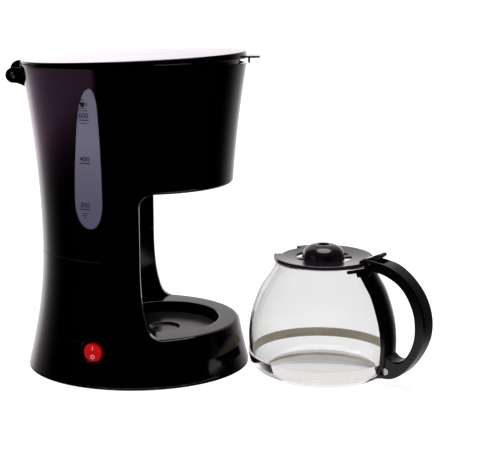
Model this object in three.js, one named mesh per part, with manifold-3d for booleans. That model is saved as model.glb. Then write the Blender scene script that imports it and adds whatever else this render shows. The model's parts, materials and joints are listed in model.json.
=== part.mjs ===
// A small drip coffee maker with its glass carafe standing beside it.
// Millimetres, +Z up. The machine's front faces +X; the level window and the switch are on the -Y side.
// The machine is drawn round the vertical axis of its housing, the carafe round its own axis with the handle
// along +X, and the finished group is moved so that its box stands centred on the origin.

import * as THREE from "three";
import { mergeVertices } from "three/addons/utils/BufferGeometryUtils.js";
import Module from "manifold-3d";

const wasm = await Module();
wasm.setup();

// ---------------------------------------------------------------- driving dimensions

const GAP = 0.3; // between pieces that touch
const WALL = 2.5; // housing shells

// The housing is an oval hourglass: its half length along X as a function of height.
const WAIST_HALF_LENGTH = 79.6;
const WAIST_Z = 106;
const FLARE_ABOVE = 0.102;
const FLARE_BELOW = 0.237;
const OVAL_RATIO = 0.87; // half width along Y over half length along X
const HOUSING_BOTTOM_Z = 1.5;
const SEAM_Z = 101.5;
const RIM_Z = 255.2;

// The carafe bay, open to the front, with a round rear wall concentric with the plate.
const BAY_LIP_X = 8.4;
const BASE_TOP_Z = 38.5;
const HEAD_FLOOR_Z = 156;
const PLATE_X = 22.2;
const BAY_REAR_RADIUS = 66;
const SHOULDER_RADIUS = 4;
const WELL_RADIUS = 46.5;
const PLATE_RADIUS = 44.6;
const PLATE_TOP_Z = 29.5;

const LID_HALF_LENGTH = 92.6;
const LID_SEAM_Z = 257.3;
const LID_TOP_Z = 261;
const LID_SEAM_SLOPE = 0.018; // the closed lid leans a little, higher at the front
const LID_TOP_SLOPE = 0.04;
const HINGE_X = -98.8;
const HINGE_Z = 245;

const TANK_TOP_Z = 236;
const TANK_FLOOR_Z = 118;
const TANK_FRONT_X = -5;
const RISER_X = -55;
const OUTLET = [-62, -20];

const SWITCH_X = -29.5;
const SWITCH_Z = 29.7;
const HEATER_RADIUS = 29.5;

const CARAFE_AT = [156.3, -26.1];
const HANDLE_AZIMUTH = -35;
const HANDLE_HALF_WIDTH = 8;
const NECK_RADIUS = 40;
const CARAFE_LID_RADIUS = 41.2;
const CARAFE_LID_TOP_Z = 98.4;
const CARAFE_PIN = [47, 99.8];
const BAND_Z = [10.5, 18];
const CLAMP_SCREW = [64.3, 12.3];
const GLASS_OUTLINE = [
  [47, 0], [53.5, 2.2], [57.8, 7], [60.3, 16], [61.5, 30], [60.8, 42],
  [58.2, 54.5], [52.3, 71.5], [46.3, 81.5], [41.8, 88.5], [NECK_RADIUS, 92], [NECK_RADIUS, 94.6],
];

const FINISH = {
  black: [0x0b090c, 0.22, 0],
  innerBlack: [0x17161a, 0.5, 0],
  rubber: [0x1b1b1c, 0.85, 0],
  silicone: [0xd9d6cf, 0.6, 0],
  plate: [0x2f2c2a, 0.4, 0.3],
  aluminium: [0xb8b9bb, 0.4, 1],
  steel: [0xc9c7c2, 0.22, 1],
  brass: [0xb89a55, 0.35, 1],
  smoke: [0x77748a, 0.25, 0],
  tank: [0x8f8c9b, 0.35, 0],
  red: [0xc20010, 0.25, 0],
  nylon: [0xa08a5a, 0.7, 0],
  glass: [0xe8f0ec, 0.03, 0],
  wire: [0xd8d4c8, 0.6, 0],
};

// ---------------------------------------------------------------- solids

const reversed = (corners) => corners.map((_, i) => corners[i - (i % 3) + 2 - (i % 3)]);

// A closed three.js geometry as a solid, whichever way its faces were wound.
function solid(geometry) {
  const bare = geometry.index ? geometry.toNonIndexed() : geometry.clone();
  bare.deleteAttribute("normal");
  bare.deleteAttribute("uv");
  const merged = mergeVertices(bare, 1e-4);
  const all = merged.index.array;
  const kept = [];
  for (let i = 0; i < all.length; i += 3) {
    const [a, b, c] = [all[i], all[i + 1], all[i + 2]];
    if (a !== b && b !== c && c !== a) kept.push(a, b, c);
  }
  const build = (corners) =>
    new wasm.Manifold(
      new wasm.Mesh({
        numProp: 3,
        vertProperties: merged.attributes.position.array,
        triVerts: new Uint32Array(corners),
      }),
    );
  const made = build(kept);
  return made.volume() < 0 ? build(reversed(kept)) : made;
}

const join = (first, ...others) => others.reduce((sum, other) => sum.add(other), first);
const cut = (body, ...tools) => tools.reduce((rest, tool) => rest.subtract(tool), body);

function geometryOf(body) {
  const mesh = body.getMesh();
  const points = new Float32Array(mesh.numVert * 3);
  for (let i = 0; i < mesh.numVert; i++)
    points.set(mesh.vertProperties.subarray(i * mesh.numProp, i * mesh.numProp + 3), i * 3);
  const geometry = new THREE.BufferGeometry();
  geometry.setAttribute("position", new THREE.BufferAttribute(points, 3));
  geometry.setIndex(new THREE.BufferAttribute(new Uint32Array(mesh.triVerts), 1));
  geometry.computeVertexNormals();
  return geometry;
}

// A profile of [radius, height] points turned about Z; it closes on itself where it leaves the axis.
function turnedGeometry(profile, segments) {
  const points = profile.map(([r, z]) => new THREE.Vector2(r, z));
  const last = points[points.length - 1];
  if (points[0].x > 0 || last.x > 0) points.push(points[0].clone());
  return new THREE.LatheGeometry(points, segments).rotateX(Math.PI / 2);
}

const turned = (profile, segments = 28, at = [0, 0, 0]) =>
  solid(turnedGeometry(profile, segments).translate(...at));

const oval = (profile, segments = 36) => solid(turnedGeometry(profile, segments).scale(1, OVAL_RATIO, 1));

const cylinder = (radius, z0, z1, x = 0, y = 0, segments = 24) =>
  turned([[0, z0], [radius, z0], [radius, z1], [0, z1]], segments, [x, y, 0]);

const ring = (inner, outer, z0, z1, x = 0, y = 0, segments = 28) =>
  turned([[inner, z0], [outer, z0], [outer, z1], [inner, z1]], segments, [x, y, 0]);

// A box given by its ranges along X, Y and Z.
const block = ([x0, x1], [y0, y1], [z0, z1]) =>
  solid(
    new THREE.BoxGeometry(x1 - x0, y1 - y0, z1 - z0).translate((x0 + x1) / 2, (y0 + y1) / 2, (z0 + z1) / 2),
  );

const shapeOf = (points) => new THREE.Shape(points.map(([x, y]) => new THREE.Vector2(x, y)));

// An outline in X and Z, extruded along Y from y0 to y1.
const prismAlongY = (shape, y0, y1, curveSegments = 8) =>
  solid(
    new THREE.ExtrudeGeometry(shape, { depth: y1 - y0, bevelEnabled: false, curveSegments })
      .rotateX(Math.PI / 2)
      .translate(0, y1, 0),
  );

const prismAlongZ = (shape, z0, z1, curveSegments = 8) =>
  solid(
    new THREE.ExtrudeGeometry(shape, { depth: z1 - z0, bevelEnabled: false, curveSegments }).translate(0, 0, z0),
  );

// A round bar along Y.
const crossBar = (radius, y0, y1, x, z, segments = 16) =>
  solid(
    new THREE.CylinderGeometry(radius, radius, y1 - y0, segments).translate(x, (y0 + y1) / 2, z),
  );

// A tube, hollow where bore is over 0, along a smooth curve through the points.
function tube(points, radius, bore = 0, steps = 20, sides = 10) {
  const path = new THREE.CatmullRomCurve3(points.map((p) => new THREE.Vector3(...p)));
  const section = new THREE.Shape().absarc(0, 0, radius, 0, 2 * Math.PI, false);
  if (bore > 0) section.holes.push(new THREE.Path().absarc(0, 0, bore, 0, 2 * Math.PI, true));
  return solid(
    new THREE.ExtrudeGeometry(section, { steps, extrudePath: path, bevelEnabled: false, curveSegments: sides / 2 }),
  );
}

// ---------------------------------------------------------------- assembly groups

const coffeeMaker = new THREE.Group();
const machine = new THREE.Group();
const carafe = new THREE.Group();
carafe.position.set(CARAFE_AT[0], CARAFE_AT[1], 0);
carafe.rotation.z = THREE.MathUtils.degToRad(HANDLE_AZIMUTH);
coffeeMaker.add(machine, carafe);

function part(group, name, body, finish) {
  const [color, roughness, metalness] = FINISH[finish];
  const clear = finish === "glass" || finish === "smoke" || finish === "tank";
  const material = new THREE.MeshStandardMaterial({ color, roughness, metalness });
  if (clear) Object.assign(material, { transparent: true, opacity: 0.5 });
  const mesh = new THREE.Mesh(geometryOf(body), material);
  mesh.name = name;
  group.add(mesh);
  return mesh;
}

// ---------------------------------------------------------------- the housing's form

const halfLength = (z) =>
  Math.sqrt(WAIST_HALF_LENGTH ** 2 + (z > WAIST_Z ? FLARE_ABOVE : FLARE_BELOW) * (z - WAIST_Z) ** 2);

const HOUSING_ROWS = [18, 34.5, 54, 77, 101.3, 128, 154, 180, 206, 231];

// The housing's side outline between two heights, moved inwards by inset.
function sideOutline(z0, z1, inset) {
  const rows = [z0, ...HOUSING_ROWS.filter((z) => z > z0 + 1 && z < z1 - 1), z1];
  return rows.map((z) => [halfLength(z) - inset, z]);
}

const hourglass = (z0, z1, inset = 0) => oval([[0, z0], ...sideOutline(z0, z1, inset), [0, z1]]);

// Points of a quarter circle about (r, z) from one angle to another, in degrees.
function arc(r, z, radius, from, to, steps = 4) {
  return Array.from({ length: steps + 1 }, (_, i) => {
    const angle = THREE.MathUtils.degToRad(from + ((to - from) * i) / steps);
    return [r + radius * Math.cos(angle), z + radius * Math.sin(angle)];
  });
}

// The volume of the carafe bay; grow moves its floor, lips, rear wall and ceiling outwards.
function bay(grow) {
  const lip = BAY_LIP_X - grow;
  const top = HEAD_FLOOR_Z + grow;
  const floor = BASE_TOP_Z - grow;
  const cornerRadius = 11;
  const side = new THREE.Shape();
  side.moveTo(lip + cornerRadius, top);
  side.absarc(lip + cornerRadius, top - cornerRadius, cornerRadius, Math.PI / 2, Math.PI, false);
  side.lineTo(lip, 98);
  side.quadraticCurveTo(lip, 68, lip + 4.2, 53);
  side.quadraticCurveTo(lip + 7, floor, lip + 16, floor);
  side.lineTo(150, floor);
  side.lineTo(150, top);
  return join(
    prismAlongY(side, -100, 100, 4),
    cylinder(BAY_REAR_RADIUS + grow, floor, top, PLATE_X, 0, 40),
  );
}

// ---------------------------------------------------------------- lower housing and what it holds

const SCREW_SPOTS = [[50, 50], [50, -50], [-56, 42], [-56, -42]];
const FOOT_SPOTS = [[62, 40], [62, -40], [-66, 34], [-66, -34]];
const SWITCH_BARREL_RADIUS = 10.1;
const GLAND_X = -78;
const GLAND_Z = 16;

// Places a geometry drawn about +Z so that +Z points out of the housing wall at this X and height.
function wallFrame(x, z, side) {
  const a = halfLength(z);
  const b = a * OVAL_RATIO;
  const y = side * b * Math.sqrt(1 - (x / a) ** 2);
  const lean = (FLARE_BELOW * (WAIST_Z - z)) / a;
  const outward = new THREE.Vector3(x / a ** 2, y / b ** 2, lean / b).normalize();
  const across = new THREE.Vector3(-outward.y, outward.x, 0).normalize();
  const up = new THREE.Vector3().crossVectors(outward, across);
  const frame = new THREE.Matrix4().makeBasis(across, up, outward);
  return frame.setPosition(x, y, z);
}

const switchFrame = wallFrame(SWITCH_X, SWITCH_Z, -1);
const glandFrame = wallFrame(GLAND_X, GLAND_Z, 1);

const turnedIn = (frame, profile, segments = 32) =>
  solid(turnedGeometry(profile, segments).applyMatrix4(frame));
const blockIn = (frame, size, at) =>
  solid(new THREE.BoxGeometry(...size).translate(...at).applyMatrix4(frame));

function lowerHousing() {
  const shoulder = arc(
    halfLength(BASE_TOP_Z - SHOULDER_RADIUS) - SHOULDER_RADIUS,
    BASE_TOP_Z - SHOULDER_RADIUS,
    SHOULDER_RADIUS,
    0,
    90,
  );
  const baseSide = sideOutline(HOUSING_BOTTOM_Z, BASE_TOP_Z - SHOULDER_RADIUS, 0).slice(0, -1);
  const base = oval([[0, HOUSING_BOTTOM_Z], ...baseSide, ...shoulder, [0, BASE_TOP_Z]]);
  const column = cut(hourglass(BASE_TOP_Z - SHOULDER_RADIUS, SEAM_Z - GAP / 2), bay(0));
  const outer = join(base, column);

  const collar = cylinder(WELL_RADIUS + 2, 24, 60, PLATE_X, 0, 36);
  const cavity = cut(hourglass(HOUSING_BOTTOM_Z - 5, SEAM_Z + 5, WALL), bay(WALL), collar);
  const shell = cut(
    outer,
    cavity,
    cylinder(WELL_RADIUS, 26, 60, PLATE_X, 0, 36),
    cylinder(WELL_RADIUS - 5.5, 20, 60, PLATE_X, 0, 36),
  );

  // A tongue stands up inside the upper housing all round the column.
  const tongue = cut(
    join(hourglass(96, SEAM_Z - GAP, WALL - 0.5), hourglass(SEAM_Z - GAP, 106, WALL + GAP)),
    hourglass(95, 107, WALL + 1.8),
    bay(WALL + GAP),
  );

  const bosses = SCREW_SPOTS.map(([x, y]) => {
    const post = cylinder(4, 5, x > 0 ? 37 : 60, x, y, 10);
    const rib = block([x - 1, x + 1], y > 0 ? [y, 90] : [-90, y], [8, x > 0 ? 37 : 60]);
    return join(post, rib);
  });
  const kept = bosses.map((boss) => boss.intersect(outer));
  const pilots = SCREW_SPOTS.map(([x, y]) => cylinder(1.5, 0, 16, x, y, 8));
  const switchHole = turnedIn(switchFrame, [[0, -14], [SWITCH_BARREL_RADIUS + GAP, -14],
    [SWITCH_BARREL_RADIUS + GAP, 8], [0, 8]], 24);
  const glandHole = turnedIn(glandFrame, [[0, -8], [5.3, -8], [5.3, 6], [0, 6]], 16);
  return cut(join(shell, tongue, ...kept), ...pilots, switchHole, glandHole);
}

function bottomCover() {
  const plate = hourglass(2, 4.5, WALL + GAP + 0.3);
  const holes = [
    ...SCREW_SPOTS.map(([x, y]) => cylinder(1.9, 0, 6, x, y, 10)),
    ...SCREW_SPOTS.map(([x, y]) => cylinder(3.6, 0, 3, x, y, 10)),
    ...FOOT_SPOTS.map(([x, y]) => cylinder(2.4, 0, 6, x, y, 10)),
  ];
  const vents = [-24, -12, 0, 12, 24].map((y) => block([-10, 22], [y - 1.5, y + 1.5], [0, 6]));
  return cut(plate, ...holes, ...vents);
}

// A pan-head screw pointing up, its head at z0, with a cross recess.
function screwUp(x, y, z0, length) {
  const body = turned([[0, z0], [2.6, z0], [3, z0 + 0.4], [3, z0 + 1.6], [1.2, z0 + 1.6],
    [0, z0 + length]], 10, [x, y, 0]);
  return cut(
    body,
    block([x - 1.8, x + 1.8], [y - 0.35, y + 0.35], [z0 - 1, z0 + 0.9]),
    block([x - 0.35, x + 0.35], [y - 1.8, y + 1.8], [z0 - 1, z0 + 0.9]),
  );
}

part(machine, "lower_housing", lowerHousing(), "black");
part(machine, "bottom_cover", bottomCover(), "innerBlack");
SCREW_SPOTS.forEach(([x, y], i) => part(machine, `cover_screw_${i + 1}`, screwUp(x, y, 1, 12), "steel"));
FOOT_SPOTS.forEach(([x, y], i) => {
  const foot = turned([[0, 0], [6, 0], [6, 1.7], [2, 1.7], [2, 4.8], [2.9, 5], [1.4, 7.2], [0, 7.2]], 12,
    [x, y, 0]);
  part(machine, `foot_${i + 1}`, foot, "rubber");
});

// The warming plate, with a dished centre and a rolled edge, on its seal.
const plateUnder = PLATE_TOP_Z - 1.2;
const dish = 2;
const warmingPlate = turned([
  [0, plateUnder - dish], [11.2, plateUnder - dish], [13, plateUnder], [PLATE_RADIUS - 1, plateUnder],
  [PLATE_RADIUS, PLATE_TOP_Z - 0.6], [PLATE_RADIUS - 0.6, PLATE_TOP_Z], [12.8, PLATE_TOP_Z],
  [11, PLATE_TOP_Z - dish], [0, PLATE_TOP_Z - dish],
], 36, [PLATE_X, 0, 0]);
part(machine, "warming_plate", warmingPlate, "plate");
part(machine, "plate_seal", ring(WELL_RADIUS - 4.8, WELL_RADIUS - 0.5, 26.3, plateUnder - GAP, PLATE_X, 0, 36),
  "rubber");

// The heater is a horseshoe casting with a water pipe that ends in two stubs to the rear.
const HEATER_Z = [16, plateUnder - GAP];
const STUB_Z = 18;
const HEATER_END = THREE.MathUtils.degToRad(150);
const STUB_Y = HEATER_RADIUS * Math.sin(HEATER_END);
const heaterBlock = (() => {
  const shape = new THREE.Shape();
  shape.absarc(0, 0, HEATER_RADIUS + 6.5, -HEATER_END, HEATER_END, false);
  shape.absarc(0, 0, HEATER_RADIUS - 6.5, HEATER_END, -HEATER_END, true);
  const horseshoe = solid(
    new THREE.ExtrudeGeometry(shape, { depth: HEATER_Z[1] - HEATER_Z[0], bevelEnabled: false, curveSegments: 14 })
      .translate(PLATE_X, 0, HEATER_Z[0]),
  );
  const stub = (y, radius, x0, x1) =>
    solid(new THREE.CylinderGeometry(radius, radius, x1 - x0, 12).rotateZ(Math.PI / 2)
      .translate((x0 + x1) / 2, y, STUB_Z));
  return cut(
    join(horseshoe, stub(STUB_Y, 3.5, -16, 0), stub(-STUB_Y, 3.5, -16, 0)),
    stub(STUB_Y, 2.2, -20, -2),
    stub(-STUB_Y, 2.2, -20, -2),
  );
})();
part(machine, "heater_block", heaterBlock, "aluminium");

const clampZ = HEATER_Z[0] - GAP - 1.5;
part(machine, "heater_clamp",
  cut(block([PLATE_X - 6, PLATE_X + 6], [-38, 38], [clampZ, clampZ + 1.5]), cylinder(2.3, 0, 30, PLATE_X, 0, 16)),
  "steel");
part(machine, "clamp_screw",
  cut(
    turned([[0, 11], [3.6, 11], [3.6, clampZ - GAP], [2, clampZ - GAP], [2, plateUnder - dish - GAP],
      [0, plateUnder - dish - GAP]], 16, [PLATE_X, 0, 0]),
    block([PLATE_X - 2.6, PLATE_X + 2.6], [-0.5, 0.5], [10, 12]),
  ),
  "steel");

const THERMOSTAT_X = PLATE_X + HEATER_RADIUS;
part(machine, "thermostat",
  turned([[0, 8.5], [7, 8.5], [7, 13], [8.5, 13], [8.5, HEATER_Z[0] - GAP], [0, HEATER_Z[0] - GAP]], 16,
    [THERMOSTAT_X, 0, 0]),
  "aluminium");
part(machine, "thermal_fuse",
  solid(new THREE.CylinderGeometry(2, 2, 12, 12).rotateZ(THREE.MathUtils.degToRad(-40))
    .translate(PLATE_X + 19, HEATER_RADIUS - 7, HEATER_Z[0] - GAP - 2)),
  "steel");

// ---------------------------------------------------------------- switch and cord gland

part(machine, "switch_bezel",
  turnedIn(switchFrame, [
    [9.1, -11.5], [0, -11.5], [0, -13.5], [SWITCH_BARREL_RADIUS, -13.5], [SWITCH_BARREL_RADIUS, 0.9],
    [11.4, 0.9], [11.4, 1.9], [10.6, 2.6], [9.1, 2.2],
  ], 24),
  "black");

// The rocker lies in its off position, its lower half pressed in.
const ROCKER_PIVOT_DEPTH = -3;
const ROCKER_TILT = 10;
const rockerFrame = switchFrame.clone()
  .multiply(new THREE.Matrix4().makeTranslation(0, 0, ROCKER_PIVOT_DEPTH))
  .multiply(new THREE.Matrix4().makeRotationX(THREE.MathUtils.degToRad(ROCKER_TILT)));
const rocker = join(
  turnedIn(rockerFrame, [[0, 1.5], [7.8, 1.5], [7.8, 4.9], [7.3, 5.4], [0, 5.8]], 32),
  blockIn(rockerFrame, [9, 5, 6], [0, 0, -1]),
);
part(machine, "switch_rocker", rocker, "red");
[-1, 1].forEach((side, i) =>
  part(machine, `switch_terminal_${i + 1}`,
    cut(blockIn(switchFrame, [0.8, 4.8, 8], [3.5 * side, 0, -13.8 - 4]),
      blockIn(switchFrame, [3, 1.6, 1.6], [3.5 * side, 0, -13.8 - 5.5])),
    "brass"));

part(machine, "cord_gland",
  turnedIn(glandFrame, [[3.6, -6.5], [5.6, -6.5], [5.6, -3.2], [5, -3.2], [5, 0.8], [7.2, 0.8], [6.6, 3], [5, 5.2],
    [3.6, 5.2]], 14),
  "rubber");

// ---------------------------------------------------------------- upper housing

const WINDOW_Y = [-100, -55.5];

// The level window's outline in X and Z: a long leaf, rounded at the foot.
function windowOutline(grow) {
  const shape = new THREE.Shape();
  shape.moveTo(-28 + grow * 0.4, 240 + grow);
  shape.bezierCurveTo(-34 - grow, 238, -37.5 - grow, 226, -39.5 - grow, 205);
  shape.bezierCurveTo(-41.5 - grow, 185, -42.9 - grow, 165, -42.9 - grow, 150);
  shape.bezierCurveTo(-42.9 - grow, 137, -38 - grow, 128 - grow, -31 + grow * 0.2, 128 - grow);
  shape.bezierCurveTo(-24 + grow, 128 - grow, -20.4 + grow, 138, -20.4 + grow, 150);
  shape.bezierCurveTo(-20.4 + grow, 175, -20.7 + grow, 200, -22 + grow, 224);
  shape.bezierCurveTo(-22.5 + grow, 234, -25 + grow, 240 + grow, -28 + grow * 0.4, 240 + grow);
  return shape;
}

function hingeEar(y0, y1) {
  const shape = new THREE.Shape();
  const radius = 6.3;
  shape.absarc(HINGE_X, HINGE_Z, radius, Math.PI / 2, 1.5 * Math.PI, false);
  shape.quadraticCurveTo(-93, HINGE_Z - radius, -88, HINGE_Z - 10.5);
  shape.lineTo(-88, HINGE_Z + radius);
  return prismAlongY(shape, y0, y1);
}

function upperHousing() {
  const low = SEAM_Z + GAP / 2;
  const edge = arc(halfLength(HEAD_FLOOR_Z + 3) - 3, HEAD_FLOOR_Z + 3, 3, -90, 0, 3);
  const head = oval([[0, HEAD_FLOOR_Z], ...edge, ...sideOutline(HEAD_FLOOR_Z + 3, RIM_Z, 0).slice(1), [0, RIM_Z]]);
  const column = cut(hourglass(low, 175), bay(0));
  const ears = join(hingeEar(-9, -5), hingeEar(5, 9));
  const cavity = cut(hourglass(low - 5, RIM_Z + 5, WALL), bay(WALL));
  return cut(
    join(head, column, ears),
    cavity,
    prismAlongY(windowOutline(GAP), ...WINDOW_Y),
    crossBar(2.35, -20, 20, HINGE_X, HINGE_Z),
    cylinder(9, 150, 165, PLATE_X, 0, 24),
  );
}
part(machine, "upper_housing", upperHousing(), "black");

const wallSkin = cut(hourglass(120, 250, 0.4), hourglass(119, 251, WALL - 0.1));
part(machine, "level_window", wallSkin.intersect(prismAlongY(windowOutline(0), ...WINDOW_Y)), "smoke");

// ---------------------------------------------------------------- water tank, valve and hoses

function tankForm(z0, z1, inset, thick) {
  return cut(
    hourglass(z0, z1, inset),
    block([TANK_FRONT_X - thick, 120], [-100, 100], [z0 - 5, z1 + 5]),
    cylinder(BAY_REAR_RADIUS + WALL + GAP + thick, z0 - 5, HEAD_FLOOR_Z + WALL + GAP + thick, PLATE_X, 0, 36),
    cylinder(56 + thick, HEAD_FLOOR_Z, z1 + 5, PLATE_X, 0, 36),
  );
}
const nipple = cylinder(4.5, 108, TANK_FLOOR_Z + 2, ...OUTLET, 20);
const waterTank = cut(
  join(
    cut(
      tankForm(TANK_FLOOR_Z, TANK_TOP_Z, WALL + 0.8, 0),
      cut(tankForm(TANK_FLOOR_Z + 2, TANK_TOP_Z + 2, WALL + 2.8, 2), cylinder(8, 100, 250, RISER_X, 0, 20)),
    ),
    nipple,
  ),
  cylinder(6, 100, 250, RISER_X, 0, 20),
  cylinder(3, 100, TANK_FLOOR_Z + 4, ...OUTLET, 16),
);
part(machine, "water_tank", waterTank, "tank");
part(machine, "tank_grommet", ring(4.8, 6.8, 103.5, TANK_FLOOR_Z - GAP, ...OUTLET, 16), "silicone");

const valveBody = cut(
  turned([[1.9, 107.4], [4.5, 107.4], [4.5, 103.2], [6, 103.2], [6, 101], [5, 101], [5, 95.5], [3.4, 95.5],
    [3.4, 86], [1.9, 86], [1.9, 97.5], [3.2, 97.5], [3.2, 103.2], [1.9, 104.6]], 12, [...OUTLET, 0]),
  block([OUTLET[0] - 3, OUTLET[0] + 3], [OUTLET[1] - 0.5, OUTLET[1] + 0.5], [96, 98.4]),
);
part(machine, "check_valve_body", valveBody, "smoke");
const VALVE_BALL_RADIUS = 2.6;
part(machine, "check_valve_ball",
  solid(new THREE.SphereGeometry(VALVE_BALL_RADIUS, 12, 8).translate(...OUTLET, 99.6)), "steel");

const HOSE = { outer: 5.2, bore: 4 };
part(machine, "inlet_hose",
  tube([[...OUTLET, 95.2], [...OUTLET, 84], [-61.5, -20, 62], [-58, -19, 42], [-50, -17, 26], [-36, -STUB_Y, 18.6],
    [-22, -STUB_Y, STUB_Z], [-10, -STUB_Y, STUB_Z]], HOSE.outer, HOSE.bore, 15, 8),
  "silicone");
part(machine, "riser_hose",
  tube([[-10, STUB_Y, STUB_Z], [-22, STUB_Y, STUB_Z], [-36, 14, 19], [-49, 9, 30], [-54, 3, 50],
    [RISER_X, 0, 76], [RISER_X, 0, 105], [RISER_X, 0, 150], [RISER_X, 0, 195], [RISER_X, 0, 233]],
  HOSE.outer, HOSE.bore, 18, 8),
  "silicone");

// The shower arm takes the hot water forward and spreads it over the filter.
const SHOWER_Z = 246;
const showerPath = [[RISER_X, 0, 224], [RISER_X, 0, 232], [RISER_X, 0, 239], [-51, 0, 244.5], [-43, 0, SHOWER_Z],
  [-20, 0, SHOWER_Z],
  [8, 0, SHOWER_Z], [18, 0, SHOWER_Z - 1.5], [PLATE_X, 0, 240], [PLATE_X, 0, 237.6]];
const spreader = cylinder(15, 236.5, 238.5, PLATE_X, 0, 28);
const showerHoles = Array.from({ length: 6 }, (_, i) => {
  const angle = (i * Math.PI) / 3;
  return cylinder(1.3, 230, 242, PLATE_X + 10 * Math.cos(angle), 10 * Math.sin(angle), 6);
});
part(machine, "shower_arm",
  cut(
    join(tube(showerPath, 3.4, 0, 15, 8), spreader),
    tube(showerPath.map(([x, y, z], i) => [x, y, i === 0 ? z - 1 : z - (i === showerPath.length - 1 ? 0.3 : 0)]), 2.3,
      0, 15, 8),
    ...showerHoles,
  ),
  "innerBlack");

// ---------------------------------------------------------------- filter

const DECK_Z = 232;
const insideHead = (z0, z1) => hourglass(z0, z1, WALL + 0.8);
const deckFront = cut(insideHead(DECK_Z, DECK_Z + 2), block([-120, TANK_FRONT_X + GAP], [-100, 100], [200, 260]));
part(machine, "inner_deck",
  cut(
    join(deckFront, cylinder(55.7, DECK_Z, DECK_Z + 2, PLATE_X, 0, 36).intersect(insideHead(DECK_Z, DECK_Z + 2))),
    cylinder(51, 200, 260, PLATE_X, 0, 36),
  ),
  "innerBlack");

const BASKET_RIM_Z = DECK_Z + 2 + GAP;
const filterBasket = turned([
  [2.5, 150], [7.8, 150], [8, 161], [34, 168], [50, BASKET_RIM_Z], [53.5, BASKET_RIM_Z], [53.5, BASKET_RIM_Z + 2],
  [48.4, BASKET_RIM_Z + 2], [32.6, 169.8], [6, 163], [5.6, 152], [2.5, 152],
], 26, [PLATE_X, 0, 0]);
part(machine, "filter_basket", filterBasket, "innerBlack");

// A reusable filter: a nylon cone held by a ribbed frame.
const FILTER_TOP_Z = 231;
const filterMesh = turned([
  [0, 173], [27, 173], [43.6, FILTER_TOP_Z - 3], [43, FILTER_TOP_Z - 3], [26.4, 173.7], [0, 173.7],
], 20, [PLATE_X, 0, 0]);
part(machine, "filter_mesh", filterMesh, "nylon");
const frameShell = turned([[27.4, 172.6], [44, FILTER_TOP_Z - 3], [45.6, FILTER_TOP_Z - 3], [29, 171], [0, 171],
  [0, 172.6]], 20, [PLATE_X, 0, 0]);
const ribZone = join(
  ...[0, 45, 90, 135].map((degrees) =>
    solid(new THREE.BoxGeometry(120, 2.4, 90).rotateZ(THREE.MathUtils.degToRad(degrees)).translate(PLATE_X, 0, 200))),
);
part(machine, "filter_frame",
  join(
    frameShell.intersect(ribZone),
    ring(43.7, 45.7, FILTER_TOP_Z - 3.5, FILTER_TOP_Z, PLATE_X, 0, 20),
    ring(26, 29, 171, 172.6, PLATE_X, 0, 20),
  ),
  "innerBlack");

// ---------------------------------------------------------------- lid

// The lid leans: each of its heights rises towards the front by its own slope.
function leaned(geometry) {
  const p = geometry.attributes.position;
  for (let i = 0; i < p.count; i++) {
    const share = Math.max(0, (p.getZ(i) - LID_SEAM_Z) / (LID_TOP_Z - LID_SEAM_Z));
    p.setZ(i, p.getZ(i) + p.getX(i) * (LID_SEAM_SLOPE + (LID_TOP_SLOPE - LID_SEAM_SLOPE) * share));
  }
  return geometry;
}
const leanedOval = (profile) => solid(leaned(turnedGeometry(profile, 36).scale(1, OVAL_RATIO, 1)));

function lid() {
  const cap = leanedOval([
    [0, LID_TOP_Z - 2.2], [LID_HALF_LENGTH - 2.4, LID_TOP_Z - 2.2], [LID_HALF_LENGTH - 2.4, LID_SEAM_Z],
    [LID_HALF_LENGTH, LID_SEAM_Z], [LID_HALF_LENGTH, LID_TOP_Z - 1.4], [LID_HALF_LENGTH - 1.4, LID_TOP_Z],
    [0, LID_TOP_Z],
  ]);
  const flangeRadius = halfLength(RIM_Z - 4) - WALL - 0.8;
  const flange = cut(
    leanedOval([[flangeRadius - 1.8, RIM_Z - 5], [flangeRadius, RIM_Z - 5], [flangeRadius, LID_TOP_Z - 1.5],
      [flangeRadius - 1.8, LID_TOP_Z - 1.5]]),
    block([-120, -35], [-100, 100], [240, 270]),
    block([60, 120], [-16, 16], [240, 270]),
  );
  const blade = block([LID_HALF_LENGTH - 2, 103.5], [-13, 13], [259.4, 261]);
  const hook = block([93.6, 95.4], [-4, 4], [254.8, 260]);
  const knuckleShape = new THREE.Shape();
  knuckleShape.moveTo(-87, 257.3);
  knuckleShape.lineTo(-94.2, 257.1);
  knuckleShape.absarc(-94.2, 249.6, 7.5, Math.PI / 2, Math.PI, false);
  knuckleShape.lineTo(HINGE_X - 5.2, HINGE_Z);
  knuckleShape.absarc(HINGE_X, HINGE_Z, 5.2, Math.PI, 2 * Math.PI, false);
  knuckleShape.lineTo(-93.6, 255.8);
  knuckleShape.lineTo(-87, 255.8);
  const knuckle = cut(prismAlongY(knuckleShape, -4.6, 4.6), crossBar(2.35, -20, 20, HINGE_X, HINGE_Z));
  return join(cap, flange, blade, hook, knuckle);
}
part(machine, "lid", lid(), "black");
part(machine, "lid_hinge_pin", crossBar(2, -8.6, 8.6, HINGE_X, HINGE_Z), "steel");

// ---------------------------------------------------------------- wiring inside the base

const terminalAt = (side) => new THREE.Vector3(3.5 * side, 0, -23.6).applyMatrix4(switchFrame).toArray();
part(machine, "wire_switch_to_thermostat",
  tube([terminalAt(1), [-12, -44, 12], [10, -46, 8], [34, -32, 7], [46, -10, 6.8], [THERMOSTAT_X - 2, 0, 6.8]],
    1.2, 0, 14, 6),
  "wire");
part(machine, "wire_gland_to_switch",
  tube([[-71, 35.8, 14.1], [-62, 24, 10], [-55, 2, 9], [-52, -20, 9], [-49, -37, 12], terminalAt(-1)],
    1.2, 0, 14, 6),
  "wire");

// ---------------------------------------------------------------- carafe: glass and band

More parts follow.
